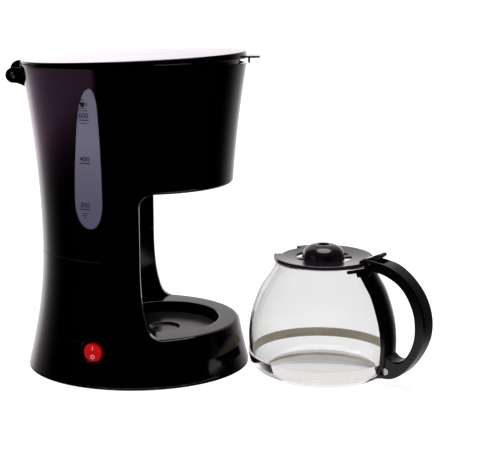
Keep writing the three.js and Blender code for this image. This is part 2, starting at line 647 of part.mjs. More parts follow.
// The glass outline as a smooth curve, moved outwards by offset.
const glassCurve = new THREE.SplineCurve(GLASS_OUTLINE.map(([r, z]) => new THREE.Vector2(r, z)));
const GLASS_STEPS = 11;
const glassSide = (offset) =>
  glassCurve.getPoints(GLASS_STEPS).map((p, i) => {
    const tangent = glassCurve.getTangent(i / GLASS_STEPS);
    return [p.x + offset * tangent.y, p.y - offset * tangent.x];
  });
const GLASS_THICKNESS = 2;

// Pulls the rim out into a pouring lip opposite the handle.
function withSpout(geometry) {
  const p = geometry.attributes.position;
  for (let i = 0; i < p.count; i++) {
    const [x, y, z] = [p.getX(i), p.getY(i), p.getZ(i)];
    const away = (Math.atan2(y, -x) * 180) / Math.PI / 17;
    const pull = 1 + (0.09 * Math.exp(-away * away) * Math.max(0, z - 86)) / 8.6;
    p.setXY(i, x * pull, y * pull);
  }
  return geometry;
}

const glassOuter = glassSide(0);
const glassInner = glassSide(-GLASS_THICKNESS).map(([r, z], i) => [r, i === GLASS_STEPS ? 94.6 : Math.max(z, 2.6)]);
part(carafe, "carafe_glass",
  solid(withSpout(turnedGeometry([[0, 1.2], [40, 1.2], ...glassOuter, ...glassInner.reverse(), [0, 3]], 36))),
  "glass");

const glassRadiusAt = (z) => {
  const i = glassOuter.findIndex((p) => p[1] > z);
  const [[r0, z0], [r1, z1]] = [glassOuter[i - 1], glassOuter[i]];
  return r0 + ((r1 - r0) * (z - z0)) / (z1 - z0);
};
const band = (() => {
  const rows = BAND_Z;
  const inner = rows.map((z) => [glassRadiusAt(z) + 0.7, z]);
  const outer = rows.map((z) => [glassRadiusAt(z) + 1.4, z]).reverse();
  const hoop = cut(turned([...inner, ...outer], 36), block([0, 90], [-3.6, 3.6], [0, 30]));
  const lug = (side) => block([59.2, 68], side > 0 ? [3.2, 4] : [-4, -3.2], [BAND_Z[0] + 0.3, BAND_Z[1] - 0.8]);
  const hole = crossBar(1.9, -10, 10, ...CLAMP_SCREW, 12);
  const glassRoom = turned([[0, 9], ...[9, ...BAND_Z, 20].map((z) => [glassRadiusAt(z) + 0.7, z]), [0, 20]], 36);
  return cut(join(hoop, lug(1), lug(-1)), hole, glassRoom);
})();
part(carafe, "carafe_band", band, "steel");

// ---------------------------------------------------------------- carafe: handle

const gripOuter = [
  [50, 102.2], [58, 101.2], [68, 98.6], [77.5, 92.6], [85.5, 85], [91.7, 76.5], [96, 66.5], [98, 56],
  [97.4, 45], [94.4, 35.5], [89.5, 26], [83.5, 17.5], [77, 11], [69.5, 6.8], [62, 5.6],
];
const gripInner = [
  [66, 25.5], [70, 22.6], [75, 22.2], [79.5, 24.5], [83.4, 29.4], [86.8, 36.5], [88.8, 45], [88.9, 54],
  [87.6, 63], [84, 72], [78, 81], [70, 87.4], [59, 91.8], [51, 92.2], [47.5, 88],
];
const smooth = (points, steps) =>
  new THREE.SplineCurve(points.map(([x, y]) => new THREE.Vector2(x, y))).getPoints(steps).map((p) => [p.x, p.y]);

function carafeHandle() {
  const loop = shapeOf([[43, 88], [43, 102.2], ...smooth(gripOuter, 30), [50, 5.6], [50, 25.5],
    ...smooth(gripInner, 30)]);
  const grip = prismAlongY(loop, -HANDLE_HALF_WIDTH, HANDLE_HALF_WIDTH);
  const strapSide = (offset) => glassSide(offset).filter(([, z]) => z > 8 && z < 92);
  const strap = turned([...strapSide(1.8), ...strapSide(5.2).reverse()], 36)
    .intersect(block([0, 90], [-12.5, 12.5], [8, 90]));
  const saddleShape = new THREE.Shape();
  const reach = THREE.MathUtils.degToRad(32);
  saddleShape.absarc(0, 0, NECK_RADIUS + 4.4, -reach, reach, false);
  saddleShape.absarc(0, 0, NECK_RADIUS + 1.4, reach, -reach, true);
  const saddle = prismAlongZ(saddleShape, 88.5, 94.7, 16);
  const glassRoom = turned([[0, -1], [47, -1], ...glassSide(1.8), [NECK_RADIUS + 1.4, 110], [0, 110]], 36);
  const lugRoom = block([50, 69], [-4.4, 4.4], [BAND_Z[0] - 0.6, BAND_Z[1] + 0.6]);
  const [pinX, pinZ] = CARAFE_PIN;
  const leverRoom = crossBar(12.3, -6.3, 6.3, pinX, pinZ, 40).intersect(block([30, 70], [-7, 7], [94.8, 120]));
  const earTrim = block([30, pinX - 4], [-30, 30], [95, 110]);
  return cut(
    join(grip, strap, saddle),
    glassRoom,
    lugRoom,
    leverRoom,
    earTrim,
    crossBar(1.6, -20, 20, pinX, pinZ, 16),
    crossBar(1.8, -20, 20, ...CLAMP_SCREW, 12),
    crossBar(3.4, -20, -HANDLE_HALF_WIDTH + 2.2, ...CLAMP_SCREW, 6),
    crossBar(3.4, HANDLE_HALF_WIDTH - 2.2, 20, ...CLAMP_SCREW, 20),
  );
}
part(carafe, "carafe_handle", carafeHandle(), "black");

// The screw that pulls the band tight, with its nut in the handle's side.
const screwEnd = HANDLE_HALF_WIDTH - 0.2;
part(carafe, "band_screw",
  cut(
    join(crossBar(1.4, -screwEnd, screwEnd - 1.6, ...CLAMP_SCREW, 12),
      crossBar(3, screwEnd - 1.7, screwEnd, ...CLAMP_SCREW, 16)),
    block([CLAMP_SCREW[0] - 2, CLAMP_SCREW[0] + 2], [screwEnd - 0.8, screwEnd + 1],
      [CLAMP_SCREW[1] - 0.4, CLAMP_SCREW[1] + 0.4]),
  ),
  "steel");
part(carafe, "band_nut",
  cut(crossBar(3, -HANDLE_HALF_WIDTH + 0.2, -HANDLE_HALF_WIDTH + 1.9, ...CLAMP_SCREW, 6),
    crossBar(1.75, -20, 20, ...CLAMP_SCREW, 12)),
  "steel");

// ---------------------------------------------------------------- carafe: lid

function carafeLid() {
  const top = CARAFE_LID_TOP_Z;
  const plate = turned([
    [0, 94.9], [14, 94.9], [17.4, 95.2], [CARAFE_LID_RADIUS, 95.2], [CARAFE_LID_RADIUS, top - 0.8], [CARAFE_LID_RADIUS - 0.8, top], [24, top - 1],
    [17.6, top - 1.4], [16.6, 102.4], [13.4, 105.7], [9, 107.6], [4.8, 108], [4.8, 104.4], [0, 104.4],
  ], 32);
  const slot = cut(
    ring(17.9, 23.5, 90, 110, 0, 0, 32),
    ...[45, 135].map((degrees) =>
      solid(new THREE.BoxGeometry(60, 5, 60).rotateZ(THREE.MathUtils.degToRad(degrees)).translate(0, 0, 100))),
  );
  const well = cylinder(4.6, 96.5, 120, 0, 0, 20);
  const notchShape = new THREE.Shape();
  const half = THREE.MathUtils.degToRad(25);
  notchShape.absarc(0, 0, 60, Math.PI - half, Math.PI + half, false);
  notchShape.absarc(0, 0, 34.5, Math.PI + half, Math.PI - half, true);
  const notch = prismAlongZ(notchShape, 80, 120, 12);

  const [pinX, pinZ] = CARAFE_PIN;
  const lever = shapeOf([
    [37, 96], [37, 99.6], [41.5, 102.4], [47, 104], [53.2, 107.2], [56, 106.8], [55.4, 104.4],
    [50.4, 101.2], ...arc(pinX, pinZ, 3.6, 20, -130, 6), [42, 96],
  ]);
  const hinge = cut(prismAlongY(lever, -5.8, 5.8), crossBar(1.6, -20, 20, pinX, pinZ, 16));
  return cut(join(cut(plate, notch), hinge), slot, well);
}
part(carafe, "carafe_lid", carafeLid(), "black");
part(carafe, "carafe_lid_pin", crossBar(1.25, -7.8, 7.8, ...CARAFE_PIN, 16), "steel");

// ---------------------------------------------------------------- placing

// The whole object stands on z = 0 with the middle of its box above the origin.
coffeeMaker.updateMatrixWorld(true);
const extent = new THREE.Box3().setFromObject(coffeeMaker, true);
const middle = extent.getCenter(new THREE.Vector3());
coffeeMaker.position.set(-middle.x, -middle.y, -extent.min.z);

export default coffeeMaker;
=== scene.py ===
import json
import math

import bmesh
import bpy
from mathutils import Matrix, Vector


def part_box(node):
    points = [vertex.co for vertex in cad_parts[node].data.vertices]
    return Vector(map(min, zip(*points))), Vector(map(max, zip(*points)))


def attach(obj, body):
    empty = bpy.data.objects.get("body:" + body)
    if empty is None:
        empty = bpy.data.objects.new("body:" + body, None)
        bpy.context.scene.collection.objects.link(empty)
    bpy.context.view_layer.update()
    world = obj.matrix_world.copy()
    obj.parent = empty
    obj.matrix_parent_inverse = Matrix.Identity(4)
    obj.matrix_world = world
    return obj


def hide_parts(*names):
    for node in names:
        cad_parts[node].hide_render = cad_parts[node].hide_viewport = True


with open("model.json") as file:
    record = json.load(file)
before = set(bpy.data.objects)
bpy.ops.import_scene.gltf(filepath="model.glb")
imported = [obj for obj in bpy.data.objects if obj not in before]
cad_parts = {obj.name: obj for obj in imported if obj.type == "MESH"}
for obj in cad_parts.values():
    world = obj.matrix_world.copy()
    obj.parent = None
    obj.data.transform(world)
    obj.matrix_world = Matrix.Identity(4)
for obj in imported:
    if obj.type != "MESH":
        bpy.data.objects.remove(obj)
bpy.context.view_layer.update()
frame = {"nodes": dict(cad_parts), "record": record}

# ---------------------------------------------------------------- where things are
# Shapes are written in millimetres round their own axis, as in the CAD source. MACHINE and CARAFE
# place them in the frame.


def middle(node):
    low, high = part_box(node)
    return (low + high) / 2


MM = Matrix.Scale(0.001, 4)
CARAFE_TURN = math.radians(-35)
machine_axis = middle("lower_housing")
carafe_axis = middle("carafe_glass")
MACHINE = Matrix.Translation((machine_axis.x, machine_axis.y, 0)) @ MM
CARAFE = (
    Matrix.Translation((carafe_axis.x, carafe_axis.y, 0))
    @ Matrix.Rotation(CARAFE_TURN, 4, "Z")
    @ MM
)

WAIST, WAIST_Z, FLARE_ABOVE, FLARE_BELOW, OVAL = 79.6, 106, 0.102, 0.237, 0.87
BOTTOM_Z, SEAM_Z, RIM_Z, BASE_TOP_Z, HEAD_FLOOR_Z = 1.5, 101.5, 255.2, 38.5, 156
SHOULDER, HEAD_EDGE, SUNK = 4, 3, 0.6
LIP_X, LIP_CURVE, LIP_STRAIGHT_Z, LIP_BEND_Z = 8.4, 11, 98, 53
PLATE_X, PLATE_RADIUS, PLATE_TOP_Z, WELL_RADIUS, BAY_RADIUS = 22.2, 44.6, 29.5, 46.5, 66
LID_RADIUS, LID_SEAM_Z, LID_TOP_Z = 92.6, 257.3, 261
HINGE_X, HINGE_Z, HINGE_PIN, HINGE_BORE, EAR_RADIUS = -98.8, 245, 2, 2.35, 6.3
WALL, GAP, WINDOW_DEPTH, WINDOW_THICK = 2.5, 0.3, 0.4, 2
SWITCH_X, SWITCH_Z, ROCKER_TILT, BUTTON_RADIUS = -29.5, 29.7, 10, 7.8
MARK_PROUD, MARK_THICK = 0.05, 0.1
NECK_RADIUS, NECK_TOP_Z, CARAFE_LID_RADIUS, CARAFE_LID_TOP_Z = 40, 94.6, 41.2, 98.4
PIN_X, PIN_Z, PIN_RADIUS, PIN_BORE = 47, 99.8, 1.25, 1.6
BAND_INNER, BAND_OUTER, BAND_SCREW_X, BAND_SCREW_Z = 0.75, 1.35, 64.3, 12.3
GRIP_HALF, GRIP_EDGE, GRIP_ROWS = 8, 1.6, 90

# How finely curves are divided.
BEZIER_STEPS, EDGE_STEPS, BACK_STEPS, BAY_STEPS, LIP_STEPS = 14, 4, 75, 55, 60
HOUSING_SEGMENTS, PANE_SEGMENTS, LID_SEGMENTS = 220, 300, 240
GLASS_SEGMENTS, FINE_SEGMENTS = 192, 96


def half_length(z):
    flare = FLARE_ABOVE if z > WAIST_Z else FLARE_BELOW
    return math.sqrt(WAIST**2 + flare * (z - WAIST_Z) ** 2)


# ---------------------------------------------------------------- curves


def smooth(points, steps):
    """A Catmull-Rom curve through the points."""
    padded = [points[0], *points, points[-1]]
    out = []
    for i in range(len(points) - 1):
        a, b, c, d = (Vector(p) for p in padded[i : i + 4])
        for k in range(steps):
            t = k / steps
            square = 2 * a - 5 * b + 4 * c - d
            cubic = 3 * b - a - 3 * c + d
            out.append(tuple(0.5 * (2 * b + (c - a) * t + square * t * t + cubic * t**3)))
    return [*out, tuple(points[-1])]


def arc(x, y, radius, start, end, steps):
    angles = [math.radians(start + (end - start) * i / steps) for i in range(steps + 1)]
    return [(x + radius * math.cos(t), y + radius * math.sin(t)) for t in angles]


def circle(x, y, radius, segments=48):
    return arc(x, y, radius, 0, 360 - 360 / segments, segments - 1)


def quadratic(a, b, c, steps=10):
    out = []
    for i in range(steps + 1):
        t = i / steps
        w = ((1 - t) ** 2, 2 * (1 - t) * t, t * t)
        out.append(tuple(w[0] * p + w[1] * q + w[2] * r for p, q, r in zip(a, b, c)))
    return out


def bezier(a, b, c, d):
    out = []
    for i in range(BEZIER_STEPS + 1):
        t = i / BEZIER_STEPS
        s = 1 - t
        w = (s**3, 3 * s * s * t, 3 * s * t * t, t**3)
        out.append(tuple(w[0] * p + w[1] * q + w[2] * r + w[3] * u for p, q, r, u in zip(a, b, c, d)))
    return out


def spaced(low, high, step):
    count = max(1, round((high - low) / step))
    return [low + (high - low) * i / count for i in range(count + 1)]


# ---------------------------------------------------------------- meshes


def linked(name, data):
    obj = bpy.data.objects.new(name, data)
    bpy.context.scene.collection.objects.link(obj)
    return obj


def made(points, faces):
    """An object of these points and faces, with its faces turned outwards."""
    mesh = bpy.data.meshes.new("piece")
    mesh.from_pydata([tuple(p) for p in points], [], faces)
    bm = bmesh.new()
    bm.from_mesh(mesh)
    bmesh.ops.remove_doubles(bm, verts=bm.verts, dist=1e-4)
    bmesh.ops.recalc_face_normals(bm, faces=bm.faces)
    bm.to_mesh(mesh)
    bm.free()
    return linked("piece", mesh)


def lathe(profile, segments=160, ratio=1.0, at=(0, 0)):
    """A profile of (radius, height) turned about Z. It runs from axis to axis, or closes on itself."""
    loop = list(profile)
    if loop[0][0] > 0 or loop[-1][0] > 0:
        loop.append(loop[0])
    points, rings = [], []
    for r, z in loop:
        if r < 1e-6:
            rings.append([len(points)])
            points.append((at[0], at[1], z))
        else:
            rings.append(list(range(len(points), len(points) + segments)))
            for i in range(segments):
                t = 2 * math.pi * i / segments
                points.append((at[0] + r * math.cos(t), at[1] + ratio * r * math.sin(t), z))
    faces = []
    for a, b in zip(rings, rings[1:]):
        for i in range(segments):
            j = (i + 1) % segments
            corners = [a[i % len(a)], a[j % len(a)], b[j % len(b)], b[i % len(b)]]
            unique = list(dict.fromkeys(corners))
            if len(unique) > 2:
                faces.append(unique)
    return made(points, faces)


def loft(sections):
    """Closed loops of the same number of points, joined one after another and capped."""
    count = len(sections[0])
    points = [p for section in sections for p in section]
    faces = []
    for s in range(len(sections) - 1):
        for i in range(count):
            j = (i + 1) % count
            faces.append([s * count + i, s * count + j, (s + 1) * count + j, (s + 1) * count + i])
    faces.append(list(range(count)))
    faces.append([(len(sections) - 1) * count + i for i in reversed(range(count))])
    return made(points, faces)


def inset(outline, distance):
    """The closed outline moved inwards."""
    turn = sum(a[0] * b[1] - b[0] * a[1] for a, b in zip(outline, outline[1:] + outline[:1]))
    side = 1 if turn > 0 else -1
    out = []
    for i, p in enumerate(outline):
        before = Vector(p) - Vector(outline[i - 1])
        after = Vector(outline[(i + 1) % len(outline)]) - Vector(p)
        if before.length < 1e-6 or after.length < 1e-6:
            before = after = before if before.length > after.length else after
        n1, n2 = (Vector((-v.y, v.x)).normalized() for v in (before, after))
        n = (n1 + n2).normalized()
        reach = min(2.0, 1 / max(0.3, n.dot(n1)))
        out.append(tuple(Vector(p) + n * distance * reach * side))
    return out


def distinct(outline):
    """The outline without points that repeat the one before."""
    return [p for i, p in enumerate(outline) if (Vector(p) - Vector(outline[i - 1])).length > 0.02]


def prism(outline, low, high, radius=0.0, along="Y"):
    """The outline extruded from low to high, with its edges rounded."""
    outline = distinct(outline)
    layers = []
    if radius > 0:
        for i in range(EDGE_STEPS + 1):
            t = math.pi / 2 * i / EDGE_STEPS
            layers.append((low + radius * (1 - math.cos(t)), radius * (1 - math.sin(t))))
        layers += [(high + low - level, depth) for level, depth in reversed(layers)]
    else:
        layers = [(low, 0), (high, 0)]
    sections = []
    for level, depth in layers:
        flat = inset(outline, depth) if depth > 0 else outline
        if along == "Y":
            sections.append([(x, level, z) for x, z in flat])
        elif along == "Z":
            sections.append([(x, y, level) for x, y in flat])
        else:
            sections.append([(level, y, z) for y, z in flat])
    return loft(sections)


def box(x, y, z):
    """A block between two values of x, of y and of z."""
    return prism([(x[0], y[0]), (x[1], y[0]), (x[1], y[1]), (x[0], y[1])], *z, along="Z")


def rod(radius, low, high, x, z, edge=0.3):
    """A round bar along Y."""
    return prism(circle(x, z, radius), low, high, edge)


def combine(obj, other, operation):
    """The boolean of the two, left in obj. The other is used up."""
    modifier = obj.modifiers.new("combine", "BOOLEAN")
    modifier.operation = operation
    modifier.solver = "MANIFOLD"
    modifier.object = other
    graph = bpy.context.evaluated_depsgraph_get()
    mesh = bpy.data.meshes.new_from_object(obj.evaluated_get(graph))
    obj.modifiers.clear()
    obj.data = mesh
    bpy.data.objects.remove(other)
    return obj


def join(obj, *others):
    for other in others:
        combine(obj, other, "UNION")
    return obj


def cut(obj, *others):
    for other in others:
        combine(obj, other, "DIFFERENCE")
    return obj


def moved(obj, change):
    for v in obj.data.vertices:
        v.co = change(v.co)
    return obj


def show(
    obj, name, material, body, nodes=(), place=MACHINE, sharp=32, weighted=True
):
    """Names and finishes a piece, puts it in the frame and rides it on its body."""
    obj.data.transform(place)
    obj.name = name
    obj.data.name = name
    obj.data.materials.clear()
    obj.data.materials.append(material)
    obj.data.shade_smooth()
    obj.data.set_sharp_from_angle(angle=math.radians(sharp))
    if weighted:
        modifier = obj.modifiers.new("normals", "WEIGHTED_NORMAL")
        modifier.keep_sharp = True
        modifier.weight = 80
    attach(obj, body)
    if nodes:
        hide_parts(*nodes)
    return obj


# ---------------------------------------------------------------- materials


def shader(name, colour, roughness, **sockets):
    material = bpy.data.materials.new(name)
    material.use_nodes = True
    node = material.node_tree.nodes["Principled BSDF"]
    node.inputs["Base Color"].default_value = (*colour, 1)
    node.inputs["Roughness"].default_value = roughness
    for socket, value in sockets.items():
        node.inputs[socket.replace("_", " ")].default_value = value
    return material


def noise(material, scale):
    tree = material.node_tree
    where = tree.nodes.new("ShaderNodeTexCoord")
    texture = tree.nodes.new("ShaderNodeTexNoise")
    texture.inputs["Scale"].default_value = scale
    texture.inputs["Detail"].default_value = 3
    tree.links.new(where.outputs["Object"], texture.inputs["Vector"])
    return texture


def bumpy(material, scale, distance, strength):
    """Fine relief, its depth in metres."""
    tree = material.node_tree
    texture = noise(material, scale)
    bump = tree.nodes.new("ShaderNodeBump")
    bump.inputs["Strength"].default_value = strength
    bump.inputs["Distance"].default_value = distance
    tree.links.new(texture.outputs["Fac"], bump.inputs["Height"])
    tree.links.new(bump.outputs["Normal"], tree.nodes["Principled BSDF"].inputs["Normal"])
    return material


def mottled(material, socket, low, high, scale):
    """The socket's value or colour drifts between low and high over the surface."""
    tree = material.node_tree
    texture = noise(material, scale)
    ramp = tree.nodes.new("ShaderNodeValToRGB")
    for element, position, value in zip(ramp.color_ramp.elements, (0.35, 0.65), (low, high)):
        element.position = position
        element.color = (*value, 1) if isinstance(value, tuple) else (value, value, value, 1)
    tree.links.new(texture.outputs["Fac"], ramp.inputs["Fac"])
    tree.links.new(ramp.outputs["Color"], tree.nodes["Principled BSDF"].inputs[socket])
    return material


def coordinates(tree):
    where = tree.nodes.new("ShaderNodeTexCoord")
    split = tree.nodes.new("ShaderNodeSeparateXYZ")
    tree.links.new(where.outputs["Object"], split.inputs["Vector"])
    return [split.outputs[name] for name in "XYZ"]


def graded(material, low, high, stops):
    """The base colour changes with height, from low to high in metres, through (share, colour) stops."""
    tree = material.node_tree
    rise = tree.nodes.new("ShaderNodeMapRange")
    tint = tree.nodes.new("ShaderNodeValToRGB")
    rise.inputs["From Min"].default_value = low
    rise.inputs["From Max"].default_value = high
    first, *between, last = stops
    tint.color_ramp.elements[0].color = (*first[1], 1)
    tint.color_ramp.elements[1].color = (*last[1], 1)
    for share, colour in between:
        tint.color_ramp.elements.new(share).color = (*colour, 1)
    tree.links.new(coordinates(tree)[2], rise.inputs["Value"])
    tree.links.new(rise.outputs["Result"], tint.inputs["Fac"])
    tree.links.new(tint.outputs["Color"], tree.nodes["Principled BSDF"].inputs["Base Color"])
    return material


gloss_black = shader("gloss_black", (0.0007, 0.0003, 0.0006), 0.09, Specular_IOR_Level=0.42)
mottled(gloss_black, "Roughness", 0.08, 0.11, 18)
handle_black = shader("handle_black", (0.0015, 0.001, 0.0015), 0.24, Specular_IOR_Level=0.34)
bumpy(handle_black, 900, 0.00003, 0.12)
lid_black = shader("lid_black", (0.02, 0.014, 0.02), 0.13, Specular_IOR_Level=0.6)
bumpy(lid_black, 700, 0.00003, 0.15)
inner_black = bumpy(shader("inner_black", (0.02, 0.02, 0.022), 0.45), 1100, 0.00004, 0.4)
seal_black = bumpy(shader("seal_black", (0.012, 0.012, 0.012), 0.7), 900, 0.00004, 0.4)
rubber = bumpy(shader("rubber", (0.02, 0.02, 0.02), 0.8), 800, 0.00006, 0.5)
silicone = bumpy(shader("silicone", (0.7, 0.68, 0.63), 0.5, Subsurface_Weight=0.1), 500, 0.00004, 0.3)
plate_coating = shader("plate_coating", (0.035, 0.031, 0.029), 0.2, Specular_IOR_Level=0.5)
bumpy(plate_coating, 1500, 0.00002, 0.15)
aluminium = bumpy(shader("aluminium", (0.62, 0.62, 0.64), 0.38, Metallic=1.0), 600, 0.00008, 0.5)
steel = bumpy(shader("steel", (0.6, 0.59, 0.56), 0.25, Metallic=1.0), 900, 0.00002, 0.3)
brushed = bumpy(shader("brushed", (0.8, 0.78, 0.75), 0.5, Metallic=1.0), 900, 0.00002, 0.3)
band_steel = shader("band_steel", (0.83, 0.79, 0.78), 0.1, Metallic=1.0)
mottled(band_steel, "Roughness", 0.08, 0.13, 60)
band_inside = shader("band_inside", (0.9, 0.8, 0.6), 0.42, Metallic=0.3)
mottled(band_inside, "Base Color", (0.8, 0.7, 0.52), (0.95, 0.86, 0.68), 45)
brass = bumpy(shader("brass", (0.7, 0.52, 0.22), 0.3, Metallic=1.0), 900, 0.00002, 0.3)
smoke = shader("smoke", (0.2, 0.19, 0.28), 0.28, Specular_IOR_Level=0.35, Transmission_Weight=0.08)
# The pane's colour is painted lighter and bluer towards its top, as painted light over its own smoky
# tint.
graded(smoke, 0.128, 0.24, [
    (0, (0.15, 0.13, 0.235)), (0.33, (0.18, 0.168, 0.25)), (0.64, (0.25, 0.233, 0.348)),
    (1, (0.22, 0.2, 0.3)),
])
mark = bumpy(shader("mark", (0.012, 0.01, 0.02), 0.5), 600, 0.00002, 0.2)
white_mark = bumpy(shader("white_mark", (0.8, 0.72, 0.72), 0.5), 600, 0.00002, 0.2)
tank_clear = shader("tank_clear", (0.42, 0.4, 0.47), 0.3, Transmission_Weight=0.35, IOR=1.45)
bumpy(tank_clear, 300, 0.00005, 0.3)
switch_red = shader(
    "switch_red", (0.85, 0.001, 0.004), 0.25, Specular_IOR_Level=0.15, Subsurface_Weight=0.1,
    Subsurface_Scale=0.002,
)
mottled(switch_red, "Roughness", 0.18, 0.24, 200)
nylon = bumpy(shader("nylon", (0.4, 0.28, 0.12), 0.65), 2500, 0.0001, 0.8)
wire_cover = bumpy(shader("wire_cover", (0.72, 0.68, 0.6), 0.7), 1800, 0.0001, 0.7)
clear_glass = shader("clear_glass", (0.85, 0.85, 0.848), 0.0, Transmission_Weight=1.0, IOR=1.45)
mottled(clear_glass, "Roughness", 0.0, 0.012, 30)

FINISHES = {
    "gloss_black": gloss_black,
    "inner_black": inner_black,
    "rubber": rubber,
    "silicone": silicone,
    "warm_plate": plate_coating,
    "aluminium": aluminium,
    "steel": steel,
    "band_steel": band_steel,
    "brass": brass,
    "smoke_clear": smoke,
    "tank_clear": tank_clear,
    "switch_red": switch_red,
    "nylon_mesh": nylon,
    "glass": clear_glass,
    "wire_cover": wire_cover,
}
for entry in frame["record"]["subparts"]:
    cad = frame["nodes"][entry["node"]]
    cad.data.materials.clear()
    cad.data.materials.append(FINISHES[entry["material_slot"]])
    cad.data.shade_smooth()
    cad.data.set_sharp_from_angle(angle=math.radians(28))
frame["nodes"]["plate_seal"].data.materials[0] = seal_black

# ---------------------------------------------------------------- housings


def lip_foot(lip, floor, steps):
    """The front lip's line from where it is straight down to the base's top."""
    bend, toe = (lip + 4.2, LIP_BEND_Z), (lip + 16, floor)
    curve = quadratic((lip, LIP_STRAIGHT_Z), (lip, 68), bend, steps)
    return curve + quadratic(bend, (lip + 7, floor), toe, steps)[1:]


def lip_x(z):
    """Where the column's front lip stands at this height."""
    if z >= HEAD_FLOOR_Z - LIP_CURVE:
        rise = z - HEAD_FLOOR_Z + LIP_CURVE
        return LIP_X + LIP_CURVE - math.sqrt(max(0.0, LIP_CURVE**2 - rise**2))
    if z >= LIP_STRAIGHT_Z:
        return LIP_X
    curve = lip_foot(LIP_X, BASE_TOP_Z, LIP_STEPS)
    for (x0, z0), (x1, z1) in zip(curve, curve[1:]):
        if z1 <= z <= z0:
            return x0 + (x1 - x0) * (z0 - z) / max(1e-9, z0 - z1)
    return curve[-1][0]


def column_section(z, depth=0.0, edge=1.1):
    """The column's U-shaped section: round the back, over one lip, along the bay, over the other."""
    a = half_length(z) - depth
    b = OVAL * a
    radius = BAY_RADIUS + depth
    lip = lip_x(z) - depth

    def outer(x):
        return b * math.sqrt(max(0.0, 1 - (x / a) ** 2))

    def inside(x):
        return math.sqrt(max(0.0, radius**2 - (x - PLATE_X) ** 2))

    half = []
    start = math.acos(max(-1, min(1, (lip - edge) / a)))
    for i in range(BACK_STEPS + 1):
        t = math.pi + (start - math.pi) * i / BACK_STEPS
        half.append((a * math.cos(t), b * math.sin(t)))
    half += quadratic(half[-1], (lip, outer(lip)), (lip, outer(lip) - edge), 6)[1:]
    shoulder = (lip - edge, inside(lip - edge))
    half += quadratic((lip, inside(lip) + edge), (lip, inside(lip)), shoulder, 6)
    begin = math.acos(max(-1, min(1, (lip - edge - PLATE_X) / radius)))
    for i in range(1, BAY_STEPS + 1):
        t = begin + (math.pi - begin) * i / BAY_STEPS
        half.append((PLATE_X + radius * math.cos(t), radius * math.sin(t)))
    other = [(x, -y) for x, y in half[1:-1]]
    return [(x, y, z) for x, y in half + other[::-1]]


def oval_profile(low, high, depth=0.0, step=2.5):
    """The hourglass outline between two heights, drawn in by depth."""
    return [(half_length(z) - depth, z) for z in spaced(low, high, step)]


def bay(grow):
    """The room for the carafe, grown into the walls."""
    lip, top, floor, radius = LIP_X - grow, HEAD_FLOOR_Z + grow, BASE_TOP_Z - grow, BAY_RADIUS + grow
    side = arc(lip + LIP_CURVE, top - LIP_CURVE, LIP_CURVE, 90, 180, 10) + lip_foot(lip, floor, 10)
    side += [(150, floor), (150, top)]
    drum = lathe([(0, floor), (radius, floor), (radius, top), (0, top)], at=(PLATE_X, 0))
    return join(prism(side, -100, 100), drum)


def window_outline(g):
    """The leaf shape of the level window, grown by g."""
    curve = bezier((-28 + g * 0.4, 240 + g), (-34 - g, 238), (-37.5 - g, 226), (-39.5 - g, 205))
    curve += bezier(curve[-1], (-41.5 - g, 185), (-42.9 - g, 165), (-42.9 - g, 150))[1:]
    curve += bezier(curve[-1], (-42.9 - g, 137), (-38 - g, 128 - g), (-31 + g * 0.2, 128 - g))[1:]
    curve += bezier(curve[-1], (-24 + g, 128 - g), (-20.4 + g, 138), (-20.4 + g, 150))[1:]
    curve += bezier(curve[-1], (-20.4 + g, 175), (-20.7 + g, 200), (-22 + g, 224))[1:]
    curve += bezier(curve[-1], (-22.5 + g, 234), (-25 + g, 240 + g), (-28 + g * 0.4, 240 + g))[1:-1]
    return curve


def switch_frame():
    """Where the switch's axis comes out through the wall, with Z pointing out."""
    a = half_length(SWITCH_Z)
    b = OVAL * a
    y = -b * math.sqrt(1 - (SWITCH_X / a) ** 2)
    lean = FLARE_BELOW * (WAIST_Z - SWITCH_Z) / a
    outward = Vector((SWITCH_X / a**2, y / b**2, lean / b)).normalized()
    across = Vector((-outward.y, outward.x, 0)).normalized()
    up = outward.cross(across)
    axes = Matrix((across, up, outward)).transposed().to_4x4()
    return Matrix.Translation((SWITCH_X, y, SWITCH_Z)) @ axes


SWITCH = switch_frame()
ROCKER = SWITCH @ Matrix.Translation((0, 0, -3)) @ Matrix.Rotation(math.radians(ROCKER_TILT), 4, "X")


def turned_in(place, profile):
    obj = lathe(profile, FINE_SEGMENTS)
    obj.data.transform(place)
    return obj


shoulder_z = BASE_TOP_Z - SHOULDER
shoulder_x = half_length(shoulder_z) - SHOULDER
foot_x = half_length(BOTTOM_Z)
base = lathe([
    (0, BOTTOM_Z), (foot_x - 0.7, BOTTOM_Z), (foot_x - 0.2, BOTTOM_Z + 0.2),
    *oval_profile(BOTTOM_Z + 0.7, shoulder_z),
    *arc(shoulder_x, shoulder_z, SHOULDER, 0, 90, 10)[1:], (0, BASE_TOP_Z),
], HOUSING_SEGMENTS, OVAL)
# The column's sunk end starts inside the base, and its tongue stands in the upper housing.
sections = [column_section(shoulder_z - 1.5, SUNK)]
sections += [column_section(z) for z in spaced(shoulder_z, SEAM_Z - 0.7, 1.6)]
sections += [
    column_section(SEAM_Z - 0.15, 0.12),
    column_section(SEAM_Z - 0.14, 2.9, edge=0.2),
    column_section(SEAM_Z + 3, 2.9, edge=0.2),
]
lower = join(base, loft(sections))
cut(
    lower,
    lathe([
        (0, 20), (41, 20), (41, 26), (WELL_RADIUS, 26), (WELL_RADIUS, 37.1), (46.6, 37.6),
        (46.9, 38.1), (47.3, 38.4), (47.9, 38.52), (47.9, 60), (0, 60),
    ], at=(PLATE_X, 0)),
    lathe([(0, -5), *oval_profile(-5, 5, WALL), (0, 5)], ratio=OVAL),
    turned_in(SWITCH, [(0, -14), (10.4, -14), (10.4, 8), (0, 8)]),
)
show(lower, "lower_housing_shell", gloss_black, "machine", ["lower_housing"], sharp=28)


